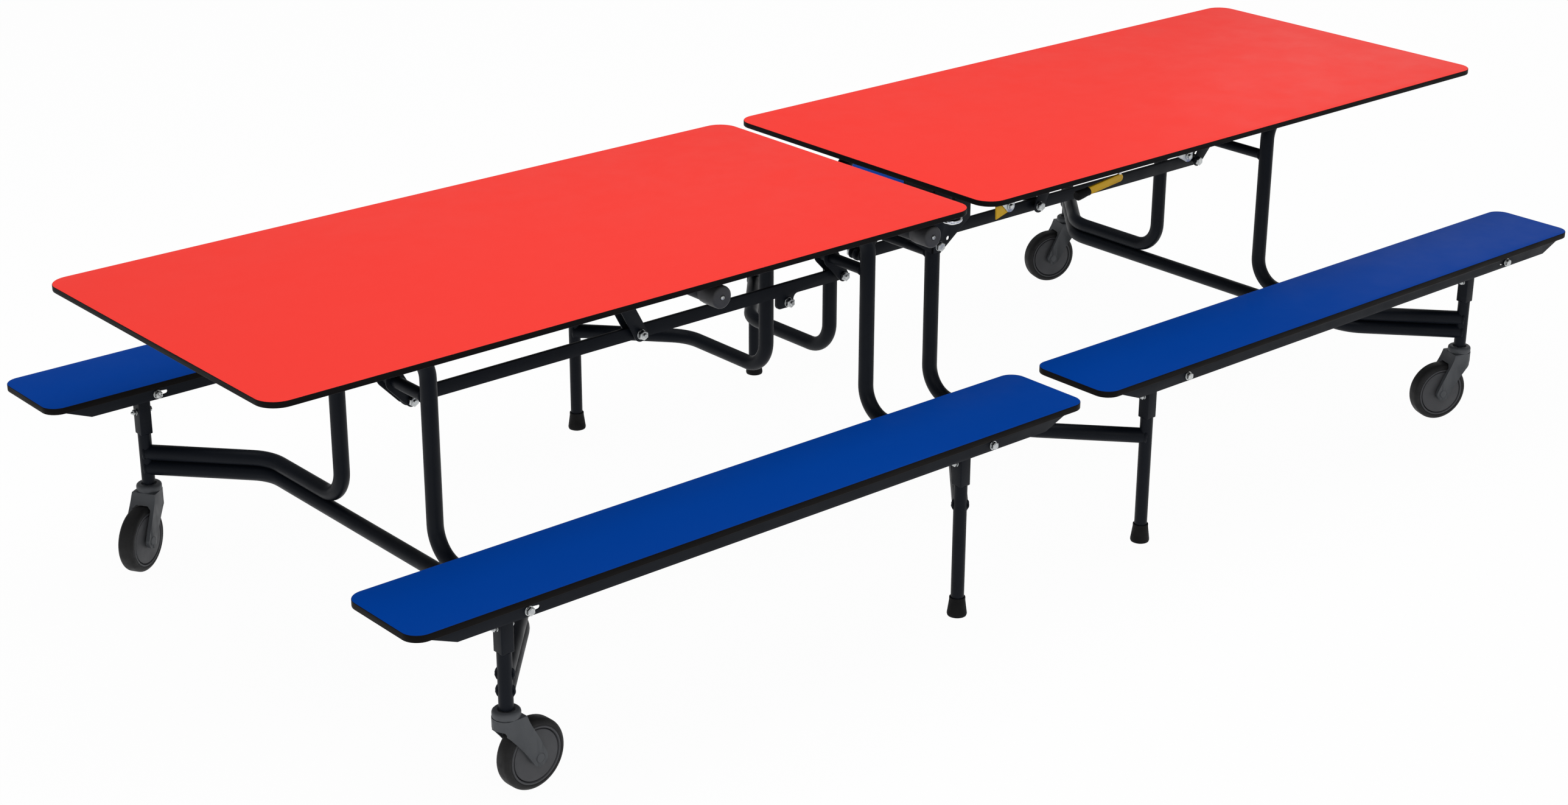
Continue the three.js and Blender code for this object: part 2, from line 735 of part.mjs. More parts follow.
// The fork: a round head under the collar that runs back and down into two arms, one each side of the
// wheel. Its lower edge is straight to the axle eye, and its upper edge bows from the head to the eye.
function casterFork() {
  const axle = [WHEEL_TRAIL, WHEEL / 2];
  const bodyTop = CASTER_HEIGHT - COLLAR_HEIGHT;
  const neck = COLLAR / 2;
  const half = FORK_WIDTH / 2;
  const lowerEdge = THREE.MathUtils.degToRad(FORK_LEAN + 90);
  const upperEdge = THREE.MathUtils.degToRad(FORK_EYE_END);
  const shape = new THREE.Shape();
  shape.moveTo(neck, bodyTop + SIDE_PLAY);
  shape.lineTo(-neck, bodyTop + SIDE_PLAY);
  shape.lineTo(-neck, bodyTop - FORK_HEAD);
  shape.absarc(axle[0], axle[1], FORK_EYE, lowerEdge, upperEdge + 2 * Math.PI, false);
  shape.quadraticCurveTo(axle[0] - FORK_BOW, bodyTop - FORK_WAIST, neck, bodyTop + SIDE_PLAY);
  const wheelRoom = roundBar(
    "y",
    axle,
    WHEEL + 4 * SIDE_PLAY,
    -half + FORK_ARM,
    half - FORK_ARM,
    WHEEL_SIDES,
  );
  const plan = join(
    roundBar("z", [0, 0], FORK_WIDTH, 0, CASTER_HEIGHT, 16),
    box(0, WHEEL, -half, half, 0, CASTER_HEIGHT),
  );
  const body = cut(uprightPlate(shape, -half, half, 4).intersect(plan), wheelRoom);
  return join(
    body,
    roundBar("z", [0, 0], COLLAR, bodyTop, CASTER_HEIGHT, 16),
    roundBar("z", [0, 0], STEM, bodyTop, CASTER_HEIGHT + STEM_LENGTH, PIN_SIDES),
    roundBar("y", axle, AXLE, -half, half, PIN_SIDES),
  );
}

// A wheel with a rounded tread and a hub disc set back inside a raised rim on each side
function casterWheel() {
  const half = WHEEL_WIDTH / 2;
  const rim = HUB / 2;
  const bore = AXLE / 2 + RUNNING;
  const side = [
    [bore, half - 2],
    [rim, half - RIM_STEP],
    [rim, half],
    [WHEEL / 2 - 6, half - 1],
    [WHEEL / 2, half - 9],
  ];
  const profile = [...side, ...side.map(([r, y]) => [r, -y]).reverse(), side[0]];
  const geometry = new THREE.LatheGeometry(
    profile.map(([r, y]) => new THREE.Vector2(r, y)),
    WHEEL_SIDES,
  );
  geometry.translate(WHEEL_TRAIL, 0, WHEEL / 2);
  return solidFrom(geometry);
}

function addCaster(corner, postX, side) {
  const swivel = new THREE.Group();
  swivel.position.set(postX, side * BENCH_SPREAD, 0);
  swivel.rotation.z = THREE.MathUtils.degToRad(SWIVEL_AT_REST[corner]);
  addNode(swivel, `${corner}_caster_fork`, casterFork(), GREY_PLASTIC);
  addNode(swivel, `${corner}_caster_wheel`, casterWheel(), DARK_TREAD);
  model.add(swivel);
}

// Each half is drawn on the +X side, and the left one is turned half a turn about Z
function addHalf(half, turn, top) {
  const group = new THREE.Group();
  group.rotation.z = turn;
  const sideName = (side) => (side * Math.cos(turn) < 0 ? "near" : "far");
  for (const side of [-1, 1]) {
    const name = sideName(side);
    const innerLeg = side < 0 ? join(footLeg(side), stopBracket()) : footLeg(side);
    addNode(group, `${half}_end_${name}_leg`, casterLeg(side), STEEL);
    addNode(group, `${half}_inner_${name}_leg`, innerLeg, STEEL);
    addNode(group, `${half}_end_${name}_pivot_head`, pivotHead(outerPost, side), STEEL);
    addNode(group, `${half}_inner_${name}_pivot_head`, pivotHead(innerPost, side), STEEL);
    addNode(group, `${half}_${name}_foot`, foot(side), BLACK_RUBBER);
    addNode(group, `${half}_${name}_bench_top`, benchTop(side), BLUE_LAMINATE);
    addNode(group, `${half}_${name}_bench_pan`, benchPan(side), STEEL);
  }
  addNode(group, `${half}_end_lower_tube`, lowerTube(), STEEL);
  addNode(group, `${half}_end_cross_tube`, crossTube(outerUpright), STEEL);
  addNode(group, `${half}_inner_cross_tube`, crossTube(INNER_UPRIGHT), STEEL);
  addNode(group, `${half}_rail`, rail(half === "left"), STEEL);
  addNode(group, `${half}_strut`, strut(), STEEL);
  addNode(group, `${half}_strut_anchor`, strutAnchor(), STEEL);
  addNode(group, `${half}_end_hinge_channel`, hingeChannel(outerUpright), STEEL);
  addNode(group, `${half}_inner_hinge_channel`, hingeChannel(INNER_UPRIGHT), STEEL);
  addNode(group, `${half}_table_top`, top, RED_LAMINATE);
  model.add(group);
}

// A bumper under the near edge of the left top: a capped tube, a web and a fixing flange
function bumper(x) {
  const level = topUnderside - BUMPER_DROP;
  const at = [x, level];
  const top = topUnderside - TOUCH;
  const capBack = -BUMPER_FACE + BUMPER_LENGTH;
  const tubeBack = capBack + BUMPER_TUBE_LENGTH;
  return join(
    roundBar("y", at, BUMPER, -BUMPER_FACE, capBack, 16),
    roundBar("y", at, BUMPER_TUBE, capBack - SIDE_PLAY, tubeBack, 16),
    box(x - BUMPER_WEB / 2, x + BUMPER_WEB / 2, capBack, tubeBack, level, top),
    box(x - BUMPER_FLANGE / 2, x + BUMPER_FLANGE / 2, capBack, tubeBack, top - BUMPER_FLANGE_WALL, top),
  );
}

// The latch: a hook plate that turns on a pin behind a zinc lug under the near edge of the right top
const latchPivot = [LATCH_X, topUnderside - LATCH_PIVOT_DROP];
const latchFront = -LATCH_LINE - RUNNING;

function latchLug() {
  const top = topUnderside - TOUCH;
  const back = latchFront - RUNNING - LATCH_WALL;
  const front = back - LUG_WALL;
  const plate = new THREE.Shape();
  plate.moveTo(LATCH_X + LUG_EYE, top);
  plate.lineTo(LATCH_X - LUG_TAIL, top);
  plate.absarc(latchPivot[0], latchPivot[1], LUG_EYE, 1.3 * Math.PI, 2 * Math.PI, false);
  return join(
    uprightPlate(plate, front, back),
    box(LATCH_X - LUG_TAIL, LATCH_X + LUG_EYE, front, front + LUG_FOOT, top - LUG_WALL, top),
    roundBar("y", latchPivot, LATCH_PIN, front - SIDE_PLAY, -LATCH_LINE + LATCH_HEX_HEIGHT, PIN_SIDES),
    hexagon(latchPivot, LATCH_HEX_FLATS, front - LATCH_HEX_HEIGHT, front),
  );
}

function latch() {
  const shape = new THREE.Shape();
  shape.absarc(latchPivot[0], latchPivot[1], LATCH_EYE, -Math.PI / 3, Math.PI / 2, false);
  shape.lineTo(latchPivot[0] - LATCH_HOOK, latchPivot[1] + SIDE_PLAY);
  shape.lineTo(latchPivot[0] - LATCH_HOOK, latchPivot[1] - LATCH_DROP);
  const bore = roundBar(
    "y",
    latchPivot,
    LATCH_PIN + 2 * RUNNING,
    latchFront - 2 * LATCH_WALL,
    latchFront + LATCH_WALL,
    PIN_SIDES,
  );
  return cut(uprightPlate(shape, latchFront - LATCH_WALL, latchFront), bore);
}

// The release lever: a bar that slopes down from its stud in the top to a round grip
const leverStud = roundBar(
  "z",
  [LEVER_X, -LEVER_LINE],
  LEVER_STUD,
  topUnderside - LEVER_DROP,
  topUnderside + LEVER_STUD_DEPTH,
  PIN_SIDES,
);

function releaseLever() {
  const slope = THREE.MathUtils.degToRad(LEVER_SLOPE);
  const start = [LEVER_X, topUnderside - LEVER_DROP];
  const along = (d) => [start[0] - d * Math.cos(slope), start[1] - d * Math.sin(slope)];
  const outline = linkOutline(start, LEVER_WIDTH / 2, along(LEVER_LENGTH), LEVER_WIDTH / 2);
  const bar = uprightPlate(outline, -LEVER_LINE - LEVER_WALL / 2, -LEVER_LINE + LEVER_WALL / 2);
  const gripGeometry = new THREE.CylinderGeometry(GRIP / 2, GRIP_NECK / 2, GRIP_LENGTH, TUBE_SIDES);
  gripGeometry.rotateZ(Math.PI / 2);
  gripGeometry.rotateY(-slope);
  const gripAt = along(LEVER_LENGTH + GRIP_LENGTH / 2);
  gripGeometry.translate(gripAt[0], -LEVER_LINE, gripAt[1]);
  return join(bar, solidFrom(gripGeometry), leverStud);
}

const studBore = roundBar(
  "z",
  [LEVER_X, -LEVER_LINE],
  LEVER_STUD + 2 * RUNNING,
  0,
  topUnderside + LEVER_STUD_DEPTH + RUNNING,
  PIN_SIDES,
);

addHalf("right", 0, cut(tableTop(), studBore));
addHalf("left", Math.PI, tableTop());
addNode(model, "centre_tie", centreTie(), STEEL);
addCaster("left_near", -outerPost, -1);
addCaster("left_far", -outerPost, 1);
addCaster("right_near", outerPost, -1);
addCaster("right_far", outerPost, 1);
addNode(model, "inner_bumper", bumper(-INNER_BUMPER), BLACK_RUBBER);
addNode(model, "outer_bumper", bumper(-OUTER_BUMPER), BLACK_RUBBER);
addNode(model, "latch_lug", latchLug(), ZINC);
addNode(model, "latch", latch(), YELLOW_PAINT);
addNode(model, "release_lever", releaseLever(), YELLOW_PAINT);

export default model;
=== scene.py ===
import math

import bmesh
import bpy
from mathutils import Matrix, Vector


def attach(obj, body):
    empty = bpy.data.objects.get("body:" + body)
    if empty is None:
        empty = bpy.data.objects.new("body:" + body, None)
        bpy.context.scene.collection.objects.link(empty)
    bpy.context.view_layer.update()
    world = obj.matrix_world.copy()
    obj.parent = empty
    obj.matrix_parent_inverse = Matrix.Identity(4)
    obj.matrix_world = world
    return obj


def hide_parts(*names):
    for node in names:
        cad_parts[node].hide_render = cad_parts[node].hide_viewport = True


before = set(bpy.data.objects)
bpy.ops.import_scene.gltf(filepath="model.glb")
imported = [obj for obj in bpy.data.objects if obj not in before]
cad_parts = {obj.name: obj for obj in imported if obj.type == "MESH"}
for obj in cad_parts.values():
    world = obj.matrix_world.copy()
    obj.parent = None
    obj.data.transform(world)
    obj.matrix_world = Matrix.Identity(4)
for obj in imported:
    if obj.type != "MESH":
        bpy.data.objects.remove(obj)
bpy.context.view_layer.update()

# Sizes of the table in metres. Most are those of the solids. The corners of the tops, the undercuts, the ends
# and holes of the pans, the rail height, the heads, the feet and the small hardware are as the photograph
# shows them. The right half is modelled, and the left half is a copy of it turned half a turn about Z.
TOP_LENGTH, TOP_WIDTH, TOP_THICKNESS = 1.508, 0.738, 0.013
TOP_HEIGHT, TOP_CORNER, TOP_GAP, TOP_UNDERCUT = 0.685, 0.040, 0.034, 0.0020
BENCH_LENGTH, BENCH_WIDTH, BENCH_THICKNESS = 1.458, 0.191, 0.013
BENCH_HEIGHT, BENCH_CORNER, BENCH_GAP, BENCH_UNDERCUT = 0.396, 0.030, 0.054, 0.0004
BENCH_SPREAD = 0.584
EASED_EDGE, UNDERCUT_REACH = 0.0013, 0.008
PAN_WIDTH, PAN_DEPTH, PAN_WALL, PAN_SLOPE, PAN_RIM = 0.174, 0.0227, 0.003, 0.049, 0.0008
PAN_INNER_INSET, PAN_OUTER_INSET = 0.048, 0.036
PAN_BORE_RADIUS, PAN_BORE_REACH = 0.0053, 0.004
PAN_SLOT_TIP, PAN_SLOT_REACH = 0.0036, 0.018

LEG_TUBE, POST_TUBE, CROSS_TUBE, PIN = 0.030, 0.025, 0.022, 0.010
INNER_UPRIGHT, OUTER_UPRIGHT = 0.086, 1.094
UPRIGHT_SPREAD, POST_OFFSET = 0.150, 0.163
LEG_LEVEL, LOWER_TUBE_LEVEL, CROSS_TUBE_LEVEL = 0.223, 0.1927, 0.517
PLAN_BEND, PLAN_BEND_RADIUS = 0.404, 0.090
LEG_BEND_RADIUS, NECK_BEND_RADIUS, NECK_LEVEL = 0.060, 0.060, 0.575
WELD_RADIUS, WELD_SUNK, WELD_UNEVEN = 0.0026, 0.0008, 0.0005
CROSS_TUBE_LAP, POST_LAP, BARREL_RIM = 0.004, 0.001, 0.001

TOP_PIVOT_HEIGHT, TOP_PIVOT_OFFSET = 0.652, 0.064
RAIL_PIVOT_HEIGHT, RAIL_PIVOT_OFFSET = 0.473, 0.032
BENCH_PIVOT_HEIGHT, BENCH_PIVOT_OFFSET = 0.371, 0.010
RAIL_SPREAD, RAIL_THICKNESS, RAIL_HEIGHT, RAIL_RIM = 0.031, 0.008, 0.0258, 0.001
RAIL_LUG_START, RAIL_LUG_END, RAIL_LUG_BOLT = 0.120, 0.162, 0.014
LINK_WIDTH, LINK_WALL, LINK_EYE, STRUT_EYE = 0.032, 0.003, 0.012, 0.015
CHEEK_MARGIN, EAR_OUTSIDE, EAR_PIN_END = 0.008, 0.019, 0.004

HEAD_WIDTH, HEAD_BOTTOM, HEAD_CORNER, HEAD_ABOVE_PIVOT = 0.0245, 0.262, 0.002, 0.007
BUSH, BUSH_REACH, BENCH_PIN_REACH, BENCH_BOLT_SEAT = 0.016, 0.0835, 0.089, 0.002
CLAMP_BOLT_HEIGHT = 0.308
FOOT_HEIGHT, FOOT_SEAT = 0.038, 0.0085
STOP_BOTTOM, STOP_TOP, STOP_WALL, STOP_RIM = 0.522, 0.655, 0.003, 0.0005
STOP_FLANGE_REACH, STOP_FLANGE_BOTTOM = 0.082, 0.535
STOP_BOLT_SEAT, STOP_BOLT_HEIGHT = 0.0048, 0.535
STOP_HOLE, STOP_HOLE_OFFSET, STOP_HOLE_HEIGHT = 0.009, 0.024, 0.546

WHEEL_RADIUS, WHEEL_WIDTH, WHEEL_TRAIL, WHEEL_PLAY = 0.0625, 0.033, 0.046, 0.002
CASTER_HEIGHT, COLLAR_HEIGHT, FORK_WIDTH, FORK_ARM = 0.160, 0.013, 0.054, 0.008
SWIVEL_AT_REST = {"left_near": 4, "left_far": -148, "right_near": 159, "right_far": 162}

BUMPER_PLACES = {"inner_bumper": -0.1035, "outer_bumper": -0.610}
BUMPER_RADIUS, BUMPER_FACE, BUMPER_LEVEL = 0.021, 0.347, 0.640
BUMPER_TUBE, BUMPER_CAP_LAP, BUMPER_TUBE_RIM = 0.037, 0.040, 0.001
BUMPER_ROOT, FLANGE_FRONT, FLANGE_BOTTOM, FLANGE_HALF = 0.192, 0.302, 0.0033, 0.025
WEB_HALF, WEB_TOP = 0.003, 0.001
LATCH_X, LATCH_LINE, LATCH_LEVEL = 0.094, 0.342, 0.657
LATCH_PIN, HOOK_BORE, HOOK_EYE = 0.006, 0.007, 0.0078
LUG_EYE, LUG_WALL, LUG_FRONT, LUG_FOOT, LUG_RIM = 0.0115, 0.003, 0.008, 0.024, 0.0005
LUG_SCREW_SEAT = 0.0012
LATCH_LUG_RISE, LATCH_LUG_TAIL = 0.003, 0.028
OUTER_LUG_X, OUTER_LUG_LEVEL, OUTER_LUG_TAIL = 0.600, 0.659, 0.046
LEVER_X, LEVER_LINE, LEVER_LEVEL = 0.414, 0.334, 0.6485
LEVER_LENGTH, LEVER_SLOPE, LEVER_HALF, LEVER_RIM = 0.088, math.radians(6.5), 0.003, 0.0012
LEVER_EYE, LEVER_TIP = 0.008, 0.0078
STUD, STUD_START, STUD_SHORT = 0.008, 0.0066, 0.0002
DISH_X, DISH_Y, DISH_DROP = -0.0507, -0.3392, 0.0197

# The room left between pieces that lie on each other, the thickness of a washer, and the rim of thin sheet
CLEARANCE, WASHER, SHEET_RIM = 0.0003, 0.0018, 0.0006

TOP_UNDERSIDE = TOP_HEIGHT - TOP_THICKNESS
INNER_POST = INNER_UPRIGHT + POST_OFFSET
OUTER_POST = OUTER_UPRIGHT + POST_OFFSET
STRUT_FOOT = ((INNER_UPRIGHT + OUTER_UPRIGHT) / 2 - RAIL_PIVOT_OFFSET, RAIL_PIVOT_HEIGHT)
STRUT_HEAD = (STRUT_FOOT[0] + RAIL_PIVOT_OFFSET + TOP_PIVOT_OFFSET, TOP_PIVOT_HEIGHT)
LINK_LOW, LINK_HIGH = RAIL_SPREAD - LINK_WIDTH / 2, RAIL_SPREAD + LINK_WIDTH / 2
SIDES = ((-1, "near"), (1, "far"))
FRAMES = (("end", OUTER_UPRIGHT, "right_end_frame"), ("inner", INNER_UPRIGHT, "centre_frame"))


# Finishes

def screen_colour(red, green, blue):
    """A colour read off a screen, 0 to 255, as the linear colour that shaders take."""
    def linear(value):
        value = value / 255
        return value / 12.92 if value <= 0.04045 else ((value + 0.055) / 1.055) ** 2.4
    return (linear(red), linear(green), linear(blue), 1.0)


def new_group(name, inputs, outputs):
    """An empty node group with its sockets, given as labels and kinds."""
    group = bpy.data.node_groups.new(name, "ShaderNodeTree")
    for label, kind in inputs:
        group.interface.new_socket(label, in_out="INPUT", socket_type="NodeSocket" + kind)
    for label, kind in outputs:
        group.interface.new_socket(label, in_out="OUTPUT", socket_type="NodeSocket" + kind)
    return group, group.nodes.new("NodeGroupInput"), group.nodes.new("NodeGroupOutput")


def add_noise(group, given, scale, detail):
    """A noise on the vector of a group, at the scale that one of the group's inputs gives."""
    noise = group.nodes.new("ShaderNodeTexNoise")
    noise.inputs["Detail"].default_value = detail
    group.links.new(given.outputs["Vector"], noise.inputs["Vector"])
    group.links.new(given.outputs[scale], noise.inputs["Scale"])
    return noise


def add_math(nodes, operation):
    node = nodes.new("ShaderNodeMath")
    node.operation = operation
    return node


def make_tint_group():
    """A colour that drifts between two shades, with fine speckles."""
    group, given, result = new_group(
        "drifting_tint",
        [("Vector", "Vector"), ("Drift Scale", "Float"), ("Speckle Scale", "Float"), ("Speckle", "Float"),
         ("Shade A", "Color"), ("Shade B", "Color")], [("Color", "Color")])
    drift = add_noise(group, given, "Drift Scale", 2)
    speckle = add_noise(group, given, "Speckle Scale", 1)
    centred = add_math(group.nodes, "SUBTRACT")
    centred.inputs[1].default_value = 0.5
    scaled = add_math(group.nodes, "MULTIPLY")
    total = add_math(group.nodes, "ADD")
    total.use_clamp = True
    mix = group.nodes.new("ShaderNodeMix")
    mix.data_type = "RGBA"
    link = group.links.new
    link(speckle.outputs["Fac"], centred.inputs[0])
    link(centred.outputs[0], scaled.inputs[0])
    link(given.outputs["Speckle"], scaled.inputs[1])
    link(drift.outputs["Fac"], total.inputs[0])
    link(scaled.outputs[0], total.inputs[1])
    link(total.outputs[0], mix.inputs["Factor"])
    link(given.outputs["Shade A"], mix.inputs["A"])
    link(given.outputs["Shade B"], mix.inputs["B"])
    link(mix.outputs["Result"], result.inputs["Color"])
    return group


def make_sheen_group():
    """A roughness that goes patchily between two values."""
    group, given, result = new_group(
        "patchy_sheen", [("Vector", "Vector"), ("Scale", "Float"), ("Bright", "Float"), ("Dull", "Float")],
        [("Roughness", "Float")])
    patches = add_noise(group, given, "Scale", 4)
    spread = group.nodes.new("ShaderNodeMapRange")
    spread.inputs["From Min"].default_value = 0.3
    spread.inputs["From Max"].default_value = 0.7
    link = group.links.new
    link(patches.outputs["Fac"], spread.inputs["Value"])
    link(given.outputs["Bright"], spread.inputs["To Min"])
    link(given.outputs["Dull"], spread.inputs["To Max"])
    link(spread.outputs["Result"], result.inputs["Roughness"])
    return group


def make_skin_group():
    """The height of a fine moulded, sprayed or pressed skin: grains on a softer swell."""
    group, given, result = new_group(
        "fine_skin",
        [("Vector", "Vector"), ("Grain Scale", "Float"), ("Swell Scale", "Float"), ("Swell", "Float")],
        [("Height", "Float")])
    grain = add_noise(group, given, "Grain Scale", 3)
    swell = add_noise(group, given, "Swell Scale", 1)
    weight = add_math(group.nodes, "MULTIPLY_ADD")
    link = group.links.new
    link(swell.outputs["Fac"], weight.inputs[0])
    link(given.outputs["Swell"], weight.inputs[1])
    link(grain.outputs["Fac"], weight.inputs[2])
    link(weight.outputs[0], result.inputs["Height"])
    return group


TINT, SHEEN, SKIN = make_tint_group(), make_sheen_group(), make_skin_group()


def finish(name, shades, drift, speckle, sheen, skin, metallic=0.0, specular=0.5, stretch=(1, 1, 1)):
    """A finish from two screen colours, its drift and speckle, its sheen and its skin."""
    material = bpy.data.materials.new(name)
    material.use_nodes = True
    nodes, link = material.node_tree.nodes, material.node_tree.links.new
    shader = nodes["Principled BSDF"]
    shader.inputs["Metallic"].default_value = metallic
    shader.inputs["Specular IOR Level"].default_value = specular
    place = nodes.new("ShaderNodeTexCoord")
    mapping = nodes.new("ShaderNodeMapping")
    mapping.inputs["Scale"].default_value = stretch
    link(place.outputs["Object"], mapping.inputs["Vector"])

    def layer(group, output, target, values):
        node = nodes.new("ShaderNodeGroup")
        node.node_tree = group
        for label, value in values.items():
            node.inputs[label].default_value = value
        link(mapping.outputs["Vector"], node.inputs["Vector"])
        link(node.outputs[output], target)

    speckle_scale, speckle_weight = speckle
    layer(TINT, "Color", shader.inputs["Base Color"], {
        "Drift Scale": drift, "Speckle Scale": speckle_scale, "Speckle": speckle_weight,
        "Shade A": screen_colour(*shades[0]), "Shade B": screen_colour(*shades[1])})
    patch_scale, bright, dull = sheen
    layer(SHEEN, "Roughness", shader.inputs["Roughness"], {"Scale": patch_scale, "Bright": bright, "Dull": dull})
    grain_scale, swell_scale, swell_weight, strength, distance = skin
    bump = nodes.new("ShaderNodeBump")
    bump.inputs["Strength"].default_value = strength
    bump.inputs["Distance"].default_value = distance
    layer(SKIN, "Height", bump.inputs["Height"], {
        "Grain Scale": grain_scale, "Swell Scale": swell_scale, "Swell": swell_weight})
    link(bump.outputs["Normal"], shader.inputs["Normal"])
    return material


red_laminate = finish(
    "red_laminate", ((252, 62, 54), (250, 67, 59)), drift=2.0, speckle=(900, 0.5),
    sheen=(14, 0.36, 0.46), skin=(650, 120, 0.3, 0.12, 0.0004), specular=0.025)
blue_laminate = finish(
    "blue_laminate", ((0, 59, 148), (0, 64, 156)), drift=2.5, speckle=(900, 0.5),
    sheen=(14, 0.36, 0.46), skin=(650, 120, 0.3, 0.12, 0.0004), specular=0.012)
black_core = finish(
    "black_core_edge", ((12, 10, 10), (22, 19, 18)), drift=9, speckle=(420, 0.9),
    sheen=(60, 0.42, 0.58), skin=(420, 90, 0.4, 0.2, 0.0004), specular=0.06, stretch=(0.25, 0.25, 3.0))
black_steel = finish(
    "black_powder_coat", ((15, 19, 26), (21, 26, 35)), drift=6, speckle=(700, 0.4),
    sheen=(25, 0.40, 0.52), skin=(520, 160, 0.8, 0.12, 0.0006), specular=0.12)
black_rubber = finish(
    "black_rubber", ((12, 12, 13), (22, 22, 23)), drift=30, speckle=(800, 0.6),
    sheen=(45, 0.62, 0.82), skin=(900, 200, 0.5, 0.25, 0.0006), specular=0.2)
bumper_black = finish(
    "moulded_black_caps", ((52, 52, 54), (64, 64, 66)), drift=30, speckle=(900, 0.5),
    sheen=(40, 0.42, 0.60), skin=(1100, 220, 0.4, 0.22, 0.0005), specular=0.45)
fork_grey = finish(
    "grey_moulded_fork", ((76, 79, 83), (90, 93, 97)), drift=24, speckle=(1300, 0.8),
    sheen=(50, 0.46, 0.62), skin=(1400, 260, 0.3, 0.30, 0.0004), specular=0.4)
hub_grey = finish(
    "grey_hub_disc", ((68, 69, 72), (82, 83, 87)), drift=22, speckle=(1300, 0.8),
    sheen=(50, 0.48, 0.62), skin=(1400, 260, 0.3, 0.26, 0.0004), specular=0.4)
tread_grey = finish(
    "dark_tread", ((27, 27, 28), (40, 40, 41)), drift=35, speckle=(900, 0.8),
    sheen=(60, 0.50, 0.72), skin=(1000, 260, 0.4, 0.28, 0.0005), specular=0.25)
yellow_paint = finish(
    "yellow_paint", ((250, 192, 6), (255, 202, 16)), drift=18, speckle=(700, 0.12),
    sheen=(40, 0.26, 0.38), skin=(500, 120, 0.8, 0.05, 0.0005), specular=0.4)
bright_zinc = finish(
    "bright_zinc", ((176, 180, 184), (208, 210, 208)), drift=70, speckle=(420, 1.2),
    sheen=(160, 0.22, 0.42), skin=(700, 240, 0.6, 0.14, 0.0004), metallic=1.0)
chrome = finish(
    "polished_chrome", ((214, 216, 220), (226, 227, 230)), drift=30, speckle=(300, 0.3),
    sheen=(60, 0.05, 0.12), skin=(300, 60, 0.4, 0.04, 0.0003), metallic=1.0)


# Hand tools: starting a piece, choosing what to work on, and finishing it

def start_clean():
    if bpy.context.mode != "OBJECT":
        bpy.ops.object.mode_set(mode="OBJECT")
    bpy.ops.object.select_all(action="DESELECT")


def take(piece):
    start_clean()
    piece.select_set(True)
    bpy.context.view_layer.objects.active = piece


def edit(piece):
    take(piece)
    bpy.ops.object.mode_set(mode="EDIT")


def settle(piece):
    """Back to object mode, with the piece's place and turn in its mesh."""
    take(piece)
    bpy.ops.object.transform_apply(location=True, rotation=True, scale=True)
    return piece


def pick(piece, kind, test):
    """Selects the faces or edges of the piece in edit mode that pass a test."""
    bpy.ops.mesh.select_mode(type=kind)
    bpy.ops.mesh.select_all(action="DESELECT")
    mesh = bmesh.from_edit_mesh(piece.data)
    for part in mesh.faces if kind == "FACE" else mesh.edges:
        if test(part):
            part.select_set(True)
    bmesh.update_edit_mesh(piece.data)


def tidy_shell():
    bpy.ops.mesh.select_all(action="SELECT")
    bpy.ops.mesh.remove_doubles(threshold=1e-6)
    bpy.ops.mesh.delete_loose()
    bpy.ops.mesh.select_all(action="SELECT")
    bpy.ops.mesh.normals_make_consistent(inside=False)


def shade(piece, degrees=35):
    take(piece)
    bpy.ops.object.shade_smooth_by_angle(angle=math.radians(degrees))
    return piece


def coat(piece, *finishes):
    piece.data.materials.clear()
    for one in finishes:
        piece.data.materials.append(one)
    return piece


def steel(piece, degrees=35):
    return shade(coat(piece, black_steel), degrees)


def coat_faces(piece, index, test):
    """Gives the finish with that number to the faces that pass a test on their centre and normal."""
    for face in piece.data.polygons:
        if test(face.center, face.normal):
            face.material_index = index
    return piece


def join(name, *pieces):
    start_clean()
    for piece in pieces:
        piece.select_set(True)
    bpy.context.view_layer.objects.active = pieces[0]
    if len(pieces) > 1:
        bpy.ops.object.join()
    pieces[0].name = name
    return pieces[0]


def copy_of(piece, name):
    take(piece)
    bpy.ops.object.duplicate(linked=False)
    twin = bpy.context.object
    twin.name = name
    return twin


def set_at(piece, at, axis):
    """Turns a piece that was modelled at the origin along +Z to an axis, and moves it to its place."""
    piece.rotation_euler = Vector((0, 0, 1)).rotation_difference(Vector(axis)).to_euler()
    piece.location = at
    return settle(piece)


def placed(piece, name, at, axis):
    """A copy of a piece that was modelled at the origin along +Z, set at its place."""
    return set_at(copy_of(piece, name), at, axis)


def put_away(*pieces):
    for piece in pieces:
        bpy.data.objects.remove(piece)


def apply_modifier(piece, kind, **values):
    take(piece)
    modifier = piece.modifiers.new(kind.lower(), kind)
    for key, value in values.items():
        setattr(modifier, key, value)
    bpy.ops.object.modifier_apply(modifier=modifier.name)
    return piece


def carve(piece, *tools, operation="DIFFERENCE"):
    """Cuts the tools away from a piece, or adds them to it, and removes them."""
    for tool in tools:
        apply_modifier(piece, "BOOLEAN", operation=operation, object=tool, solver="EXACT")
    put_away(*tools)
    return piece


# Forms that the pieces start from

def block(name, low, high, corner=0.0, segments=3):
    low, high = Vector(low), Vector(high)
    start_clean()
    bpy.ops.mesh.primitive_cube_add(size=1, location=(low + high) / 2, scale=high - low)
    piece = bpy.context.object
    piece.name = name
    settle(piece)
    if corner:
        edit(piece)
        bpy.ops.mesh.select_all(action="SELECT")
        bpy.ops.mesh.bevel(offset=corner, segments=segments, affect="EDGES")
        start_clean()
    return piece


def outline_shape(name, points, fill):
    """A ring of vertices, filled or open, with its vertices moved to the points."""
    start_clean()
    bpy.ops.mesh.primitive_circle_add(vertices=len(points), radius=1, fill_type=fill)
    piece = bpy.context.object
    piece.name = name
    bpy.ops.object.mode_set(mode="EDIT")
    mesh = bmesh.from_edit_mesh(piece.data)
    for vertex, point in zip(mesh.verts, points):
        vertex.co = point
    bmesh.update_edit_mesh(piece.data)
    bpy.ops.mesh.select_all(action="SELECT")
    return piece


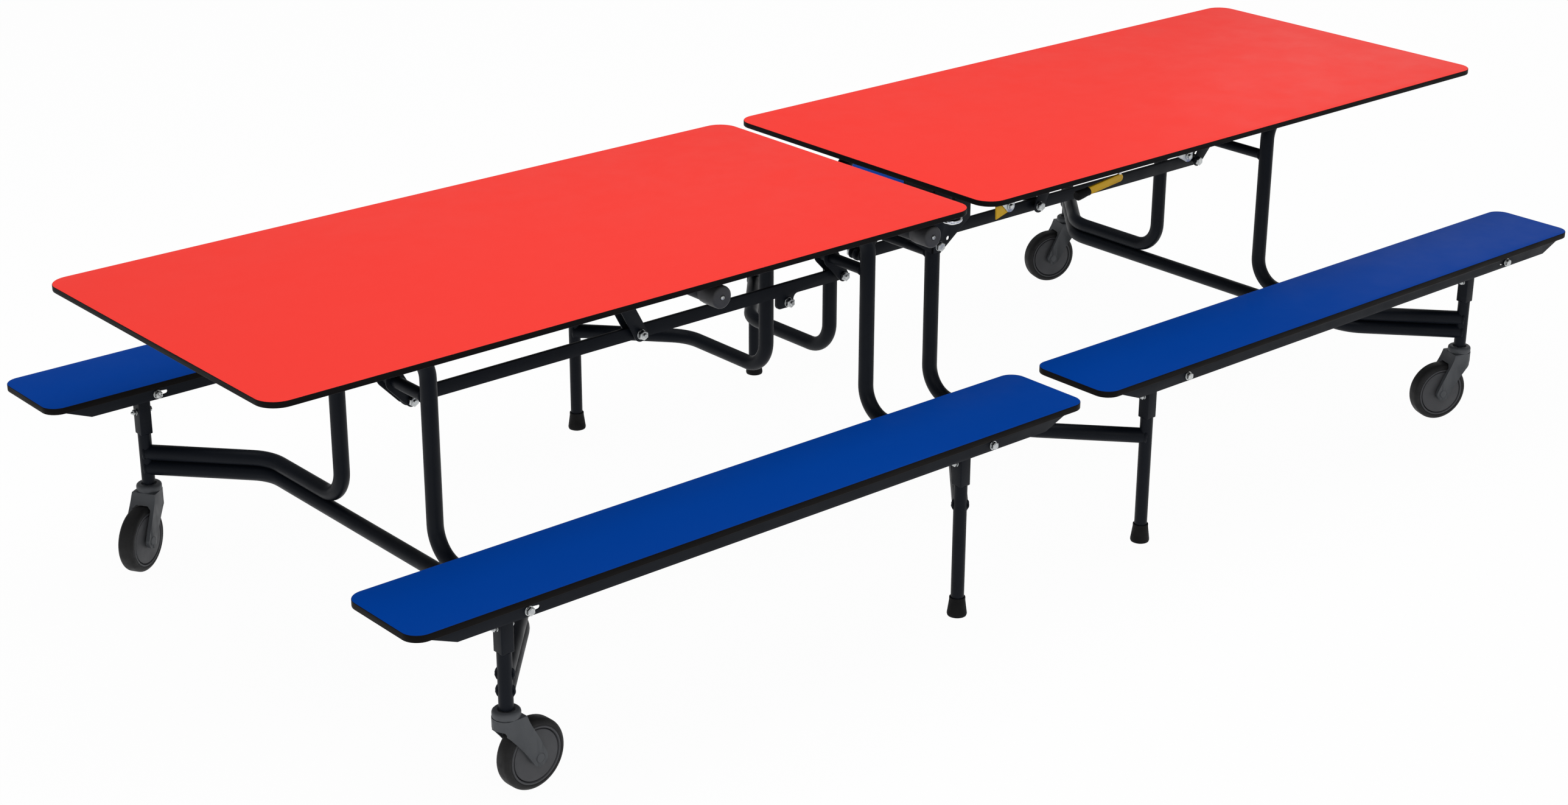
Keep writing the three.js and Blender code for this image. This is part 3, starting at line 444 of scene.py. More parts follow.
def pull(along):
    """Pulls the outline that is in edit mode along a way, into a closed form."""
    bpy.ops.mesh.extrude_region_move(TRANSFORM_OT_translate={"value": along})
    bpy.ops.mesh.select_all(action="SELECT")
    bpy.ops.mesh.normals_make_consistent(inside=False)


def plate(name, outline, y0, y1, eased=0.0):
    """A plate standing in X and Z, from an outline pulled along Y, with its rims eased."""
    piece = outline_shape(name, [(x, y0, z) for x, z in outline], "NGON")
    pull((0, y1 - y0, 0))
    if eased:
        pick(piece, "EDGE", lambda e: abs(e.verts[0].co.y - e.verts[1].co.y) < 1e-6)
        bpy.ops.mesh.bevel(offset=eased, segments=2, affect="EDGES")
    start_clean()
    return piece


def spun(name, profile, at=(0, 0, 0), axis=(0, 0, 1), steps=40):
    """A turned form: a closed profile of (radius, height) spun round an axis through a point."""
    piece = outline_shape(name, [(r, 0, h) for r, h in profile], "NOTHING")
    bpy.ops.mesh.spin(steps=steps, angle=2 * math.pi, center=(0, 0, 0), axis=(0, 0, 1))
    tidy_shell()
    start_clean()
    return set_at(piece, at, axis)


def rod(name, diameter, start, end, eased=0.0005, steps=28):
    """A round bar or pin between two points, with eased ends."""
    along = Vector(end) - Vector(start)
    r, length = diameter / 2, along.length
    profile = [(0, 0), (r - eased, 0), (r, eased), (r, length - eased), (r - eased, length), (0, length)]
    return spun(name, profile, start, along, steps)


def bent_tube(name, diameter, corners, radii, sides=28):
    """A tube pulled along its straight runs and spun round its bends."""
    points = [Vector(corner) for corner in corners]
    heading = (points[1] - points[0]).normalized()
    start_clean()
    bpy.ops.mesh.primitive_circle_add(
        vertices=sides, radius=diameter / 2, fill_type="NGON",
        location=points[0], rotation=heading.to_track_quat("Z", "Y").to_euler())
    tube = bpy.context.object
    tube.name = name
    settle(tube)
    edit(tube)
    bpy.ops.mesh.select_all(action="SELECT")
    at = points[0]
    for corner, following, radius in zip(points[1:-1], points[2:], radii):
        after = (following - corner).normalized()
        turn = heading.angle(after)
        start = corner - heading * radius * math.tan(turn / 2)
        inward = (after - heading * heading.dot(after)).normalized()
        bpy.ops.mesh.extrude_region_move(TRANSFORM_OT_translate={"value": start - at})
        bpy.ops.mesh.spin(
            steps=max(5, round(math.degrees(turn) / 6)), angle=-turn,
            center=start + inward * radius, axis=heading.cross(after).normalized())
        at = corner + after * radius * math.tan(turn / 2)
        heading = after
    bpy.ops.mesh.extrude_region_move(TRANSFORM_OT_translate={"value": points[-1] - at})
    tidy_shell()
    start_clean()
    return tube


def arc(x, z, radius, first, last, steps):
    """Points on an arc, the angles in degrees."""
    angles = [math.radians(first + (last - first) * i / steps) for i in range(steps + 1)]
    return [(x + radius * math.cos(a), z + radius * math.sin(a)) for a in angles]


def link_outline(a, radius_a, b, radius_b, steps=12):
    """The outline of a link with a round eye at each end."""
    along = math.atan2(b[1] - a[1], b[0] - a[0])
    spread = math.acos((radius_a - radius_b) / math.hypot(b[0] - a[0], b[1] - a[1]))
    first, last = math.degrees(along + spread), math.degrees(along - spread) + 360
    return (arc(*a, radius_a, first, last, steps)
            + arc(*b, radius_b, last - 360, first, steps))


# Putting a piece on the table, and its copy on the other half

def fit(piece, body, slot, *nodes):
    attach(piece, body)
    if nodes:
        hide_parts(*nodes)
    return piece


def other_half(name):
    swap = {"right": "left", "near": "far", "far": "near"}
    return "_".join(swap.get(word, word) for word in name.split("_"))


def turned(piece):
    """A piece modelled on the right half, turned half a turn to its place on the left half."""
    piece.rotation_euler = (0, 0, math.pi)
    return settle(piece)


def fit_both(piece, body, slot, *nodes):
    """Fits a piece of the right half, and a copy of it turned half a turn on the left half."""
    twin = turned(copy_of(piece, other_half(piece.name)))
    fit(piece, body, slot, *nodes)
    fit(twin, other_half(body), slot, *[other_half(node) for node in nodes])


# Fasteners, modelled once along +Z with their seat at the origin

def make_bolt(name, flats, height, washer):
    """A hexagon head on a washer of the given radius."""
    start_clean()
    bpy.ops.mesh.primitive_cylinder_add(
        vertices=6, radius=flats / math.sqrt(3), depth=height, location=(0, 0, height / 2))
    head = settle(bpy.context.object)
    edit(head)
    pick(head, "FACE", lambda face: face.normal.z > 0.9)
    bpy.ops.mesh.inset(thickness=0.12 * flats)
    bpy.ops.transform.translate(value=(0, 0, 0.07 * flats))
    pick(head, "EDGE", lambda edge: True)
    bpy.ops.mesh.bevel(offset=0.03 * flats, segments=2, affect="EDGES")
    start_clean()
    bore, rim = 0.2 * flats, 0.0004
    profile = [(bore, -WASHER), (washer - rim, -WASHER), (washer, -WASHER + rim),
               (washer, -rim), (washer - rim, 0), (bore, 0)]
    ring = spun(name + "_washer", profile, steps=32)
    return shade(coat(join(name, head, ring), bright_zinc), 30)


def make_nut(name, flats, height, washer):
    """A nut on a washer, with the end of the bolt's thread standing out of it."""
    nut = make_bolt(name, flats, height, washer)
    radius, pitch, depth, proud, chamfer = 0.29 * flats, 0.0015, 0.0006, 0.0035, 0.0005
    profile = [(0, 0)]
    level = 0.0
    while level < height + proud:
        profile += [(radius, level), (radius - depth, level + pitch / 2)]
        level += pitch
    profile += [(radius - 2 * depth, level + chamfer), (0, level + chamfer)]
    thread = coat(spun(name + "_thread", profile, steps=24), bright_zinc)
    return shade(join(name, nut, thread), 30)


bolt = make_bolt("bolt", flats=0.017, height=0.0065, washer=0.0098)
nut = make_nut("nut", flats=0.017, height=0.008, washer=0.0098)
bench_bolt = make_bolt("bench_bolt", flats=0.013, height=0.0055, washer=0.0085)
bench_nut = make_nut("bench_nut", flats=0.013, height=0.0065, washer=0.0085)
small_bolt = make_bolt("small_bolt", flats=0.010, height=0.004, washer=0.0062)
small_nut = make_nut("small_nut", flats=0.010, height=0.005, washer=0.0062)
fasteners = {}


def fasten(body, master, at, axis):
    """Puts a copy of a fastener on a body of the right half."""
    pieces = fasteners.setdefault(body, [])
    pieces.append(placed(master, f"{body}_fastener_{len(pieces)}", at, axis))


def bolt_link(body, x, z, seat=0):
    """Puts a bolt and its nut on the two plates of a link."""
    fasten(body, bolt, (x, LINK_LOW - seat, z), (0, -1, 0))
    fasten(body, nut, (x, LINK_HIGH + seat, z), (0, 1, 0))


# Laminate tops and benches

def laminate_panel(name, low, high, corner, face_finish, undercut):
    """A panel with round corners and eased rims, and an underside that is stepped in behind a thinner edge."""
    panel = block(name, (low[0], low[1], low[2] + undercut), high)
    edit(panel)
    pick(panel, "EDGE", lambda e: abs(e.verts[0].co.z - e.verts[1].co.z) > 0.005)
    bpy.ops.mesh.bevel(offset=corner, segments=14, affect="EDGES")
    pick(panel, "EDGE", lambda e: abs(e.verts[0].co.z - e.verts[1].co.z) < 1e-6)
    bpy.ops.mesh.bevel(offset=EASED_EDGE, segments=3, affect="EDGES")
    pick(panel, "FACE", lambda face: face.normal.z < -0.99)
    bpy.ops.mesh.inset(thickness=UNDERCUT_REACH)
    bpy.ops.transform.translate(value=(0, 0, -undercut))
    start_clean()
    coat(panel, face_finish, black_core)
    coat_faces(panel, 1, lambda centre, normal: normal.z < 0.9)
    return shade(panel, 40)


top = laminate_panel(
    "right_table_top_panel", (TOP_GAP / 2, -TOP_WIDTH / 2, TOP_UNDERSIDE),
    (TOP_GAP / 2 + TOP_LENGTH, TOP_WIDTH / 2, TOP_HEIGHT), TOP_CORNER, red_laminate, TOP_UNDERCUT)
fit_both(top, "right_top", "red_laminate", "right_table_top")

for side, near in SIDES:
    middle = side * BENCH_SPREAD
    bench = laminate_panel(
        f"right_{near}_bench_panel",
        (BENCH_GAP / 2, middle - BENCH_WIDTH / 2, BENCH_HEIGHT - BENCH_THICKNESS),
        (BENCH_GAP / 2 + BENCH_LENGTH, middle + BENCH_WIDTH / 2, BENCH_HEIGHT),
        BENCH_CORNER, blue_laminate, BENCH_UNDERCUT)
    fit_both(bench, f"right_{near}_bench", "blue_laminate", f"right_{near}_bench_top")


# Pans under the benches: a channel with sloping ends, bored for its inner bolt and slotted for its outer one

for side, near in SIDES:
    middle = side * BENCH_SPREAD
    pan_top = BENCH_HEIGHT - BENCH_THICKNESS - CLEARANCE
    pan_bottom = pan_top - PAN_DEPTH
    pan_inner = BENCH_GAP / 2 + PAN_INNER_INSET
    pan_outer = BENCH_GAP / 2 + BENCH_LENGTH - PAN_OUTER_INSET
    pan = plate(
        f"right_{near}_bench_channel",
        [(pan_inner + PAN_SLOPE, pan_bottom), (pan_outer - PAN_SLOPE, pan_bottom),
         (pan_outer, pan_top - PAN_WALL), (pan_outer, pan_top),
         (pan_inner, pan_top), (pan_inner, pan_top - PAN_WALL)],
        middle - PAN_WIDTH / 2, middle + PAN_WIDTH / 2, PAN_RIM)
    inside = PAN_WIDTH / 2 - PAN_WALL
    carve(pan, block("pan_hollow", (0, middle - inside, 0.2), (2, middle + inside, pan_top - PAN_WALL)))
    for cutter, post, reach, tip in (
            ("pan_slot", OUTER_POST, -PAN_SLOT_REACH, PAN_SLOT_TIP),
            ("pan_bore", INNER_POST, PAN_BORE_REACH, PAN_BORE_RADIUS)):
        x, z = post + BENCH_PIVOT_OFFSET, BENCH_PIVOT_HEIGHT
        hole = link_outline((x, z), PAN_BORE_RADIUS, (x + reach, z), tip)
        carve(pan, plate(cutter, hole, middle - PAN_WIDTH, middle + PAN_WIDTH))
    fit_both(steel(pan), f"right_{near}_bench", "black_steel", f"right_{near}_bench_pan")


# Legs: a bent tube, the post it is welded to, and the pivot barrel at the top of its neck

def weld_bead(name, at, axis, across):
    """A bead of weld round the end of a tube, uneven as it was laid down."""
    bead = spun(name, arc(across / 2 - WELD_SUNK, 0, WELD_RADIUS, 0, 330, 11), steps=36)
    edit(bead)
    bpy.ops.mesh.select_all(action="SELECT")
    bpy.ops.transform.vertex_random(offset=WELD_UNEVEN, uniform=0.0, normal=1.0, seed=4)
    start_clean()
    return shade(set_at(bead, at, axis), 80)


def make_leg(name, upright, post, side, post_bottom):
    y = side * UPRIGHT_SPREAD
    post_y = side * BENCH_SPREAD
    eye_x = upright + TOP_PIVOT_OFFSET
    tube = bent_tube(
        name, LEG_TUBE,
        [(post, post_y, LEG_LEVEL), (upright, side * PLAN_BEND, LEG_LEVEL), (upright, y, LEG_LEVEL),
         (upright, y, NECK_LEVEL), (eye_x, y, TOP_PIVOT_HEIGHT)],
        [PLAN_BEND_RADIUS, LEG_BEND_RADIUS, NECK_BEND_RADIUS])
    barrel = rod(
        name + "_barrel", LEG_TUBE, (eye_x, y - LEG_TUBE / 2, TOP_PIVOT_HEIGHT),
        (eye_x, y + LEG_TUBE / 2, TOP_PIVOT_HEIGHT), BARREL_RIM)
    upright_post = rod(
        name + "_post", POST_TUBE, (post, post_y, post_bottom), (post, post_y, HEAD_BOTTOM + POST_LAP))
    pin = rod(
        name + "_pin", PIN, (eye_x, y - EAR_OUTSIDE - EAR_PIN_END, TOP_PIVOT_HEIGHT),
        (eye_x, y + EAR_OUTSIDE + EAR_PIN_END, TOP_PIVOT_HEIGHT))
    outward = Vector((upright, side * PLAN_BEND, 0)) - Vector((post, post_y, 0))
    bead = weld_bead(name + "_weld", (post, post_y, LEG_LEVEL), outward, LEG_TUBE)
    return steel(join(name, tube, barrel, upright_post, pin, bead), 40)


for side, near in SIDES:
    end_leg = make_leg(
        f"right_end_{near}_leg_tube", OUTER_UPRIGHT, OUTER_POST, side, CASTER_HEIGHT + CLEARANCE)
    fit_both(end_leg, "right_end_frame", "black_steel", f"right_end_{near}_leg")
    inner_leg = make_leg(f"right_inner_{near}_leg_tube", INNER_UPRIGHT, INNER_POST, side, FOOT_SEAT)
    fit_both(inner_leg, "centre_frame", "black_steel", f"right_inner_{near}_leg")

lower_tube = bent_tube(
    "right_end_lower_tube_bow", LEG_TUBE,
    [(OUTER_POST, -BENCH_SPREAD, LOWER_TUBE_LEVEL), (OUTER_UPRIGHT, -PLAN_BEND, LOWER_TUBE_LEVEL),
     (OUTER_UPRIGHT, PLAN_BEND, LOWER_TUBE_LEVEL), (OUTER_POST, BENCH_SPREAD, LOWER_TUBE_LEVEL)],
    [PLAN_BEND_RADIUS, PLAN_BEND_RADIUS])
lower_welds = [
    weld_bead(f"lower_weld_{near}", (OUTER_POST, side * BENCH_SPREAD, LOWER_TUBE_LEVEL),
              (-POST_OFFSET, side * (PLAN_BEND - BENCH_SPREAD), 0), LEG_TUBE) for side, near in SIDES]
lower_tube = steel(join("right_end_lower_tube_bow", lower_tube, *lower_welds), 40)
fit_both(lower_tube, "right_end_frame", "black_steel", "right_end_lower_tube")


# Cross tubes, each with the two plates and the bolt of the rail

def link_plates(name, outline):
    """The two plates of a link, one each side of the rail."""
    return [plate(name + "_a", outline, LINK_LOW, LINK_LOW + LINK_WALL, SHEET_RIM),
            plate(name + "_b", outline, LINK_HIGH - LINK_WALL, LINK_HIGH, SHEET_RIM)]


for place, upright, body in FRAMES:
    name = f"right_{place}_cross_tube_and_plates"
    tube_end = UPRIGHT_SPREAD - LEG_TUBE / 2
    reach = tube_end + CROSS_TUBE_LAP
    cross = rod(name, CROSS_TUBE, (upright, -reach, CROSS_TUBE_LEVEL), (upright, reach, CROSS_TUBE_LEVEL))
    x, z = upright - RAIL_PIVOT_OFFSET, RAIL_PIVOT_HEIGHT
    outline = link_outline((upright, CROSS_TUBE_LEVEL), CROSS_TUBE / 2 + CHEEK_MARGIN, (x, z), LINK_EYE)
    cheeks = link_plates(name + "_cheek", outline)
    pin = rod(name + "_pin", PIN, (x, LINK_LOW, z), (x, LINK_HIGH, z))
    welds = [weld_bead(name + "_weld", (upright, side * tube_end, CROSS_TUBE_LEVEL), (0, 1, 0), CROSS_TUBE)
             for side in (-1, 1)]
    cross = steel(join(name, cross, *cheeks, pin, *welds), 40)
    fit_both(cross, body, "black_steel", f"right_{place}_cross_tube")
    bolt_link(body, x, z)


# Pivot heads on the bench posts, with their long bolts and clamp bolts

for place, upright, body in FRAMES:
    for side, near in SIDES:
        name = f"right_{place}_{near}_head_and_bush"
        post, y, z = upright + POST_OFFSET, side * BENCH_SPREAD, BENCH_PIVOT_HEIGHT
        half, pivot = HEAD_WIDTH / 2, post + BENCH_PIVOT_OFFSET
        head = block(
            name, (post - half, y - half, HEAD_BOTTOM),
            (post + half, y + half, z + HEAD_ABOVE_PIVOT), HEAD_CORNER)
        bush = rod(name + "_bush", BUSH, (pivot, y - BUSH_REACH, z), (pivot, y + BUSH_REACH, z))
        pin = rod(name + "_pin", PIN, (pivot, y - BENCH_PIN_REACH, z), (pivot, y + BENCH_PIN_REACH, z))
        fit_both(steel(join(name, head, bush, pin)), body, "black_steel", f"right_{place}_{near}_pivot_head")
        reach = PAN_WIDTH / 2 + BENCH_BOLT_SEAT
        fasten(body, bench_bolt, (pivot, y + side * reach, z), (0, side, 0))
        fasten(body, bench_nut, (pivot, y - side * reach, z), (0, -side, 0))
        fasten(body, small_bolt, (post - half - WASHER, y, CLAMP_BOLT_HEIGHT), (-1, 0, 0))
        fasten(body, small_nut, (post + half + WASHER, y, CLAMP_BOLT_HEIGHT), (1, 0, 0))


# Folding rails and struts. Only the left rail has a lug.

rail_inner, rail_outer = INNER_UPRIGHT - RAIL_PIVOT_OFFSET, OUTER_UPRIGHT - RAIL_PIVOT_OFFSET
rail_back, rail_front = RAIL_SPREAD - RAIL_THICKNESS / 2, RAIL_SPREAD + RAIL_THICKNESS / 2
half = RAIL_HEIGHT / 2
rail_outline = (
    arc(rail_outer, RAIL_PIVOT_HEIGHT, half, -90, 90, 14)
    + arc(rail_inner, RAIL_PIVOT_HEIGHT, half, 90, 270, 14))
right_rail = plate("right_rail_bar", rail_outline, rail_back, rail_front, RAIL_RIM)
fit(steel(right_rail), "right_rail", "black_steel", "right_rail")

lug_near, lug_far = rail_inner + RAIL_LUG_START, rail_inner + RAIL_LUG_END
rail_bottom = RAIL_PIVOT_HEIGHT - half
lug_outline = (
    arc(lug_near - 0.011, rail_bottom - 0.011, 0.011, 90, 0, 6)
    + arc(lug_near + 0.011, rail_bottom - 0.014, 0.011, 180, 270, 7)
    + arc(lug_far - 0.009, rail_bottom - 0.016, 0.009, 270, 360, 7) + [(lug_far, rail_bottom)])
left_rail = plate("left_rail_bar", rail_outline + lug_outline, rail_back, rail_front, RAIL_RIM)
fit(steel(turned(left_rail)), "left_rail", "black_steel", "left_rail")
for master, name, y, way in (
        (bolt, "bolt", rail_back - WASHER, -1), (nut, "nut", rail_front + WASHER, 1)):
    at = (lug_near + RAIL_LUG_BOLT, y, rail_bottom - RAIL_LUG_BOLT)
    fit(turned(placed(master, f"left_rail_lug_{name}", at, (0, way, 0))), "left_rail", "zinc")

strut_parts = link_plates("right_strut_plate", link_outline(STRUT_FOOT, STRUT_EYE, STRUT_HEAD, STRUT_EYE))
for x, z in (STRUT_FOOT, STRUT_HEAD):
    strut_parts.append(rod("right_strut_pin", PIN, (x, LINK_LOW, z), (x, LINK_HIGH, z)))
    bolt_link("right_strut", x, z, WASHER)
fit_both(steel(join("right_strut_plates", *strut_parts)), "right_strut", "black_steel", "right_strut")


# The stop bracket on one inner upright of each half: a front plate with a shoulder, and a side flange

face = -UPRIGHT_SPREAD - LEG_TUBE / 2
inner = INNER_UPRIGHT - LEG_TUBE / 2 - STOP_WALL
bracket_outline = (
    [(inner, STOP_BOTTOM)] + arc(INNER_UPRIGHT + 0.002, 0.525, 0.006, 215, 325, 6)
    + arc(INNER_UPRIGHT + 0.080, 0.580, 0.004, 325, 360, 4) + arc(INNER_UPRIGHT + 0.081, 0.619, 0.003, 0, 90, 4)
    + arc(INNER_UPRIGHT + 0.037, 0.627, 0.005, 270, 180, 4) + arc(INNER_UPRIGHT + 0.028, 0.651, 0.004, 0, 90, 4)
    + [(inner, STOP_TOP)])
bracket = plate("right_stop_bracket", bracket_outline, face - STOP_WALL, face, STOP_RIM)
hole_x = INNER_UPRIGHT + STOP_HOLE_OFFSET
spare_hole = rod(
    "spare_hole", STOP_HOLE, (hole_x, face - 0.01, STOP_HOLE_HEIGHT), (hole_x, face + 0.01, STOP_HOLE_HEIGHT))
carve(bracket, spare_hole)
flange_outline = [(face - STOP_WALL, STOP_BOTTOM), (face + STOP_FLANGE_REACH, STOP_FLANGE_BOTTOM),
                  (face + STOP_FLANGE_REACH, STOP_TOP), (face - STOP_WALL, STOP_TOP)]
flange = plate("right_stop_flange", flange_outline, 0, STOP_WALL)
flange.rotation_euler = (0, 0, math.pi / 2)
flange.location = (inner + STOP_WALL, 0, 0)
settle(flange)
fit_both(steel(join("right_stop_bracket", bracket, flange)), "centre_frame", "black_steel")
fasten("centre_frame", bolt, (INNER_UPRIGHT, face - STOP_BOLT_SEAT, STOP_BOLT_HEIGHT), (0, -1, 0))


# Rubber feet: a ferrule that flares to a rounded sole

ferrule_profile = [
    (0, 0), (0.0158, 0), (0.0178, 0.0010), (0.0186, 0.0035), (0.0186, 0.0060), (0.0180, 0.0100),
    (0.0150, 0.0320), (0.0151, 0.0355), (0.0149, 0.0375), (0.0143, FOOT_HEIGHT), (0.0136, 0.0376),
    (0.0129, 0.0368), (0.0129, FOOT_SEAT), (0, FOOT_SEAT)]
for side, near in SIDES:
    at = (INNER_POST, side * BENCH_SPREAD, 0)
    ferrule = spun(f"right_{near}_foot_ferrule", ferrule_profile, at, steps=48)
    fit_both(shade(coat(ferrule, black_rubber), 50), "centre_frame", "black_rubber", f"right_{near}_foot")


# Casters: modelled once, with the swivel on Z and the wheel trailing towards +X

def make_fork():
    """A round head under a grooved collar, running back and down into an arm each side of the wheel."""
    top_of_body = CASTER_HEIGHT - COLLAR_HEIGHT
    axle_x, axle_z = WHEEL_TRAIL, WHEEL_RADIUS
    half, head_radius, eye = FORK_WIDTH / 2, 0.0246, 0.0150
    side_view = (
        [(0.0232, top_of_body), (-0.0240, top_of_body), (-head_radius, 0.140), (-head_radius, 0.1285),
         (-0.0228, 0.1222)]
        + arc(axle_x, axle_z, eye, 218, 388, 20)
        + [(0.0563, 0.0755), (0.0535, 0.0820), (0.0503, 0.0890), (0.0467, 0.0965), (0.0432, 0.1035),
           (0.0398, 0.1100), (0.0366, 0.1160), (0.0336, 0.1215), (0.0308, 0.1268), (0.0284, 0.1318),
           (0.0264, 0.1366), (0.0248, 0.1415)])
    body = plate("fork_body", side_view, -half, half)
    plan = (arc(0, 0, head_radius, 116, 244, 24) + arc(0.045, 0, half, 258, 282, 3)
            + [(0.080, -half), (0.080, half)] + arc(0.045, 0, half, 78, 102, 3))
    head = outline_shape("fork_plan", [(x, y, 0.03) for x, y in plan], "NGON")
    pull((0, 0, 0.14))
    carve(body, head, operation="INTERSECT")
    front_view = [(-0.0236, 0.150), (-0.0276, 0.121), (-0.0276, 0.030),
                  (0.0276, 0.030), (0.0276, 0.121), (0.0236, 0.150)]
    taper = plate("fork_front", front_view, -0.1, 0.1)
    taper.rotation_euler = (0, 0, math.pi / 2)
    carve(body, settle(taper), operation="INTERSECT")
    room = half - FORK_ARM
    wheel_room = rod(
        "wheel_room", 2 * (WHEEL_RADIUS + WHEEL_PLAY), (axle_x, -room, axle_z), (axle_x, room, axle_z), 0.007, 72)
    carve(body, wheel_room)
    arch = [(-0.0400, 0.0500), (-0.0400, 0.1262), (-0.0120, 0.1300), (0.0020, 0.1250), (0.0100, 0.1180),
            (0.0100, 0.0500)]
    carve(body, plate("fork_arch", arch, -room, room, 0.006))
    scoop = [(-0.0300, 0.1290), (-0.0190, 0.1232), (-0.0085, 0.1132), (0.0030, 0.0992), (0.0130, 0.0858),
             (0.0215, 0.0736), (0.0290, 0.0618), (0.0342, 0.0533), (0.0200, 0.0450), (-0.0400, 0.1000)]
    for low, high in ((room - 0.0002, half + 0.002), (-half - 0.002, 0.0002 - room)):
        carve(body, plate("fork_scoop", scoop, low, high))
    apply_modifier(
        body, "BEVEL", width=0.0022, segments=3, limit_method="ANGLE", angle_limit=math.radians(48))
    r = 0.0240
    collar = spun("fork_collar", [
        (0, 0.120), (r - 0.002, 0.136), (r - 0.0012, top_of_body - 0.0008), (r - 0.0012, top_of_body + 0.0006),
        (r - 0.0004, top_of_body + 0.0011), (r, top_of_body + 0.0020), (r, CASTER_HEIGHT - 0.0045),
        (r - 0.0006, CASTER_HEIGHT - 0.0024), (r - 0.0024, CASTER_HEIGHT - 0.0006), (r - 0.0045, CASTER_HEIGHT),
        (0.0150, CASTER_HEIGHT), (0.0138, CASTER_HEIGHT - 0.0016), (0.0130, CASTER_HEIGHT - 0.0045),
        (0, CASTER_HEIGHT - 0.0045)], steps=56)
    cap = [(0, -0.001), (0.0088, -0.001), (0.0088, 0.0001), (0.0084, 0.0001), (0.0080, -0.0006),
           (0.0076, 0.0001), (0, 0.0004)]
    caps = [spun("fork_axle_cap", cap, (axle_x, way * half, axle_z), (0, way, 0), 36) for way in (-1, 1)]
    axle = rod("fork_axle", PIN, (axle_x, -half + 0.001, axle_z), (axle_x, half - 0.001, axle_z))
    stem = rod("fork_stem", PIN, (0, 0, top_of_body), (0, 0, CASTER_HEIGHT + 0.039))
    fork = join("fork", body, collar, *caps, axle, stem)
    return shade(coat(fork, fork_grey), 38)


def make_wheel():
    """A rounded tyre on a rim with a raised lip, and a disc with a groove round it on each side, the groove's
    floor a black ring that is painted shade.
    """
    edge, rounding = WHEEL_WIDTH / 2, 0.0095

    def ring(name, half, surface, middle=()):
        """A turned ring from the profile of its one half, mirrored, with the points between the halves."""
        profile = [*half, *middle, *((r, -y) for r, y in reversed(half))]
        return coat(spun(name, profile, axis=(0, 1, 0), steps=72), surface)

    shoulder = arc(WHEEL_RADIUS - rounding, edge - 0.0100, rounding, 82, 10, 8)
    tyre = ring("wheel_tyre", [(0.0490, edge - 0.0040), (0.0516, edge - 0.0014), *shoulder],
                tread_grey, [(WHEEL_RADIUS, 0)])
    rim = ring("wheel_rim", [
        (0.0466, edge - 0.0045), (0.0474, edge - 0.0014), (0.0480, edge - 0.0004), (0.0494, edge),
        (0.0506, edge - 0.0004), (0.0518, edge - 0.0022)], hub_grey)
    disc = ring("wheel_disc", [
        (0.0062, edge - 0.0016), (0.0120, edge - 0.0010), (0.0430, edge - 0.0006), (0.0450, edge - 0.0012),
        (0.0458, edge - 0.0026), (0.0458, edge - 0.0055)], hub_grey)
    # Painted shade: a black rubber ring at the floor of each groove gives the groove the darkness of its shade.
    groove_shade_ring = ring("wheel_core", [(0.0440, edge - 0.0050), (0.0500, edge - 0.0050)], black_rubber)
    wheel = join("wheel", tyre, rim, disc, groove_shade_ring)
    wheel.location = (WHEEL_TRAIL, 0, WHEEL_RADIUS)
    return shade(settle(wheel))


fork, wheel = make_fork(), make_wheel()
for corner, degrees in SWIVEL_AT_REST.items():
    half_name, near = corner.split("_")
    at = (OUTER_POST * (1 if half_name == "right" else -1), BENCH_SPREAD * (1 if near == "far" else -1), 0)
    for master, part, slot in ((fork, "fork", "grey_fork"), (wheel, "wheel", "dark_tread")):
        twin = copy_of(master, f"{corner}_{part}_moulding")
        twin.rotation_euler = (0, 0, math.radians(degrees))
        twin.location = at
        fit(settle(twin), f"{corner}_{part}", slot, f"{corner}_caster_{part}")
put_away(fork, wheel)


# Capped bumper tubes under the left top

r = BUMPER_RADIUS
cap_profile = [
    (0, 0.045), (0, 0.0012), (0.0050, 0.0012), (0.0056, 0.0002), (0.0166, 0), (0.0190, 0.0006), (0.0204, 0.0018),
    (r, 0.0038), (r, 0.0380), (r - 0.0008, 0.0395), (r - 0.0008, 0.045)]
screw_profile = [(0, -0.002), (0.0042, -0.002), (0.0042, 0.0004), (0.0036, 0.0015), (0.0022, 0.0022),
                 (0.0016, 0.0022), (0.0014, 0.0010), (0, 0.0010)]
for name, x in BUMPER_PLACES.items():
    at = (x, -BUMPER_FACE, BUMPER_LEVEL)
    cap = coat(spun(name + "_cap", cap_profile, at, (0, 1, 0), 48), bumper_black)
    tube = rod(
        name + "_tube", BUMPER_TUBE, (x, -BUMPER_FACE + BUMPER_CAP_LAP, BUMPER_LEVEL),
        (x, -BUMPER_ROOT, BUMPER_LEVEL), BUMPER_TUBE_RIM, 40)
    web = block(
        name + "_web", (x - WEB_HALF, -FLANGE_FRONT, BUMPER_LEVEL),
        (x + WEB_HALF, -BUMPER_ROOT, TOP_UNDERSIDE - WEB_TOP))
    flange = block(
        name + "_flange", (x - FLANGE_HALF, -FLANGE_FRONT, TOP_UNDERSIDE - FLANGE_BOTTOM),
        (x + FLANGE_HALF, -BUMPER_ROOT, TOP_UNDERSIDE - CLEARANCE), SHEET_RIM, 2)
    steel_parts = [coat(piece, black_steel) for piece in (tube, web, flange)]
    fit(shade(join(name + "_capped_tube", cap, *steel_parts)), "left_top", "black_rubber", name)
    screw = spun(name + "_screw", screw_profile, at, (0, -1, 0), 32)
    fit(shade(coat(screw, bright_zinc)), "left_top", "zinc")


# The zinc lugs, the latch, and the release lever with its grip, under the right top

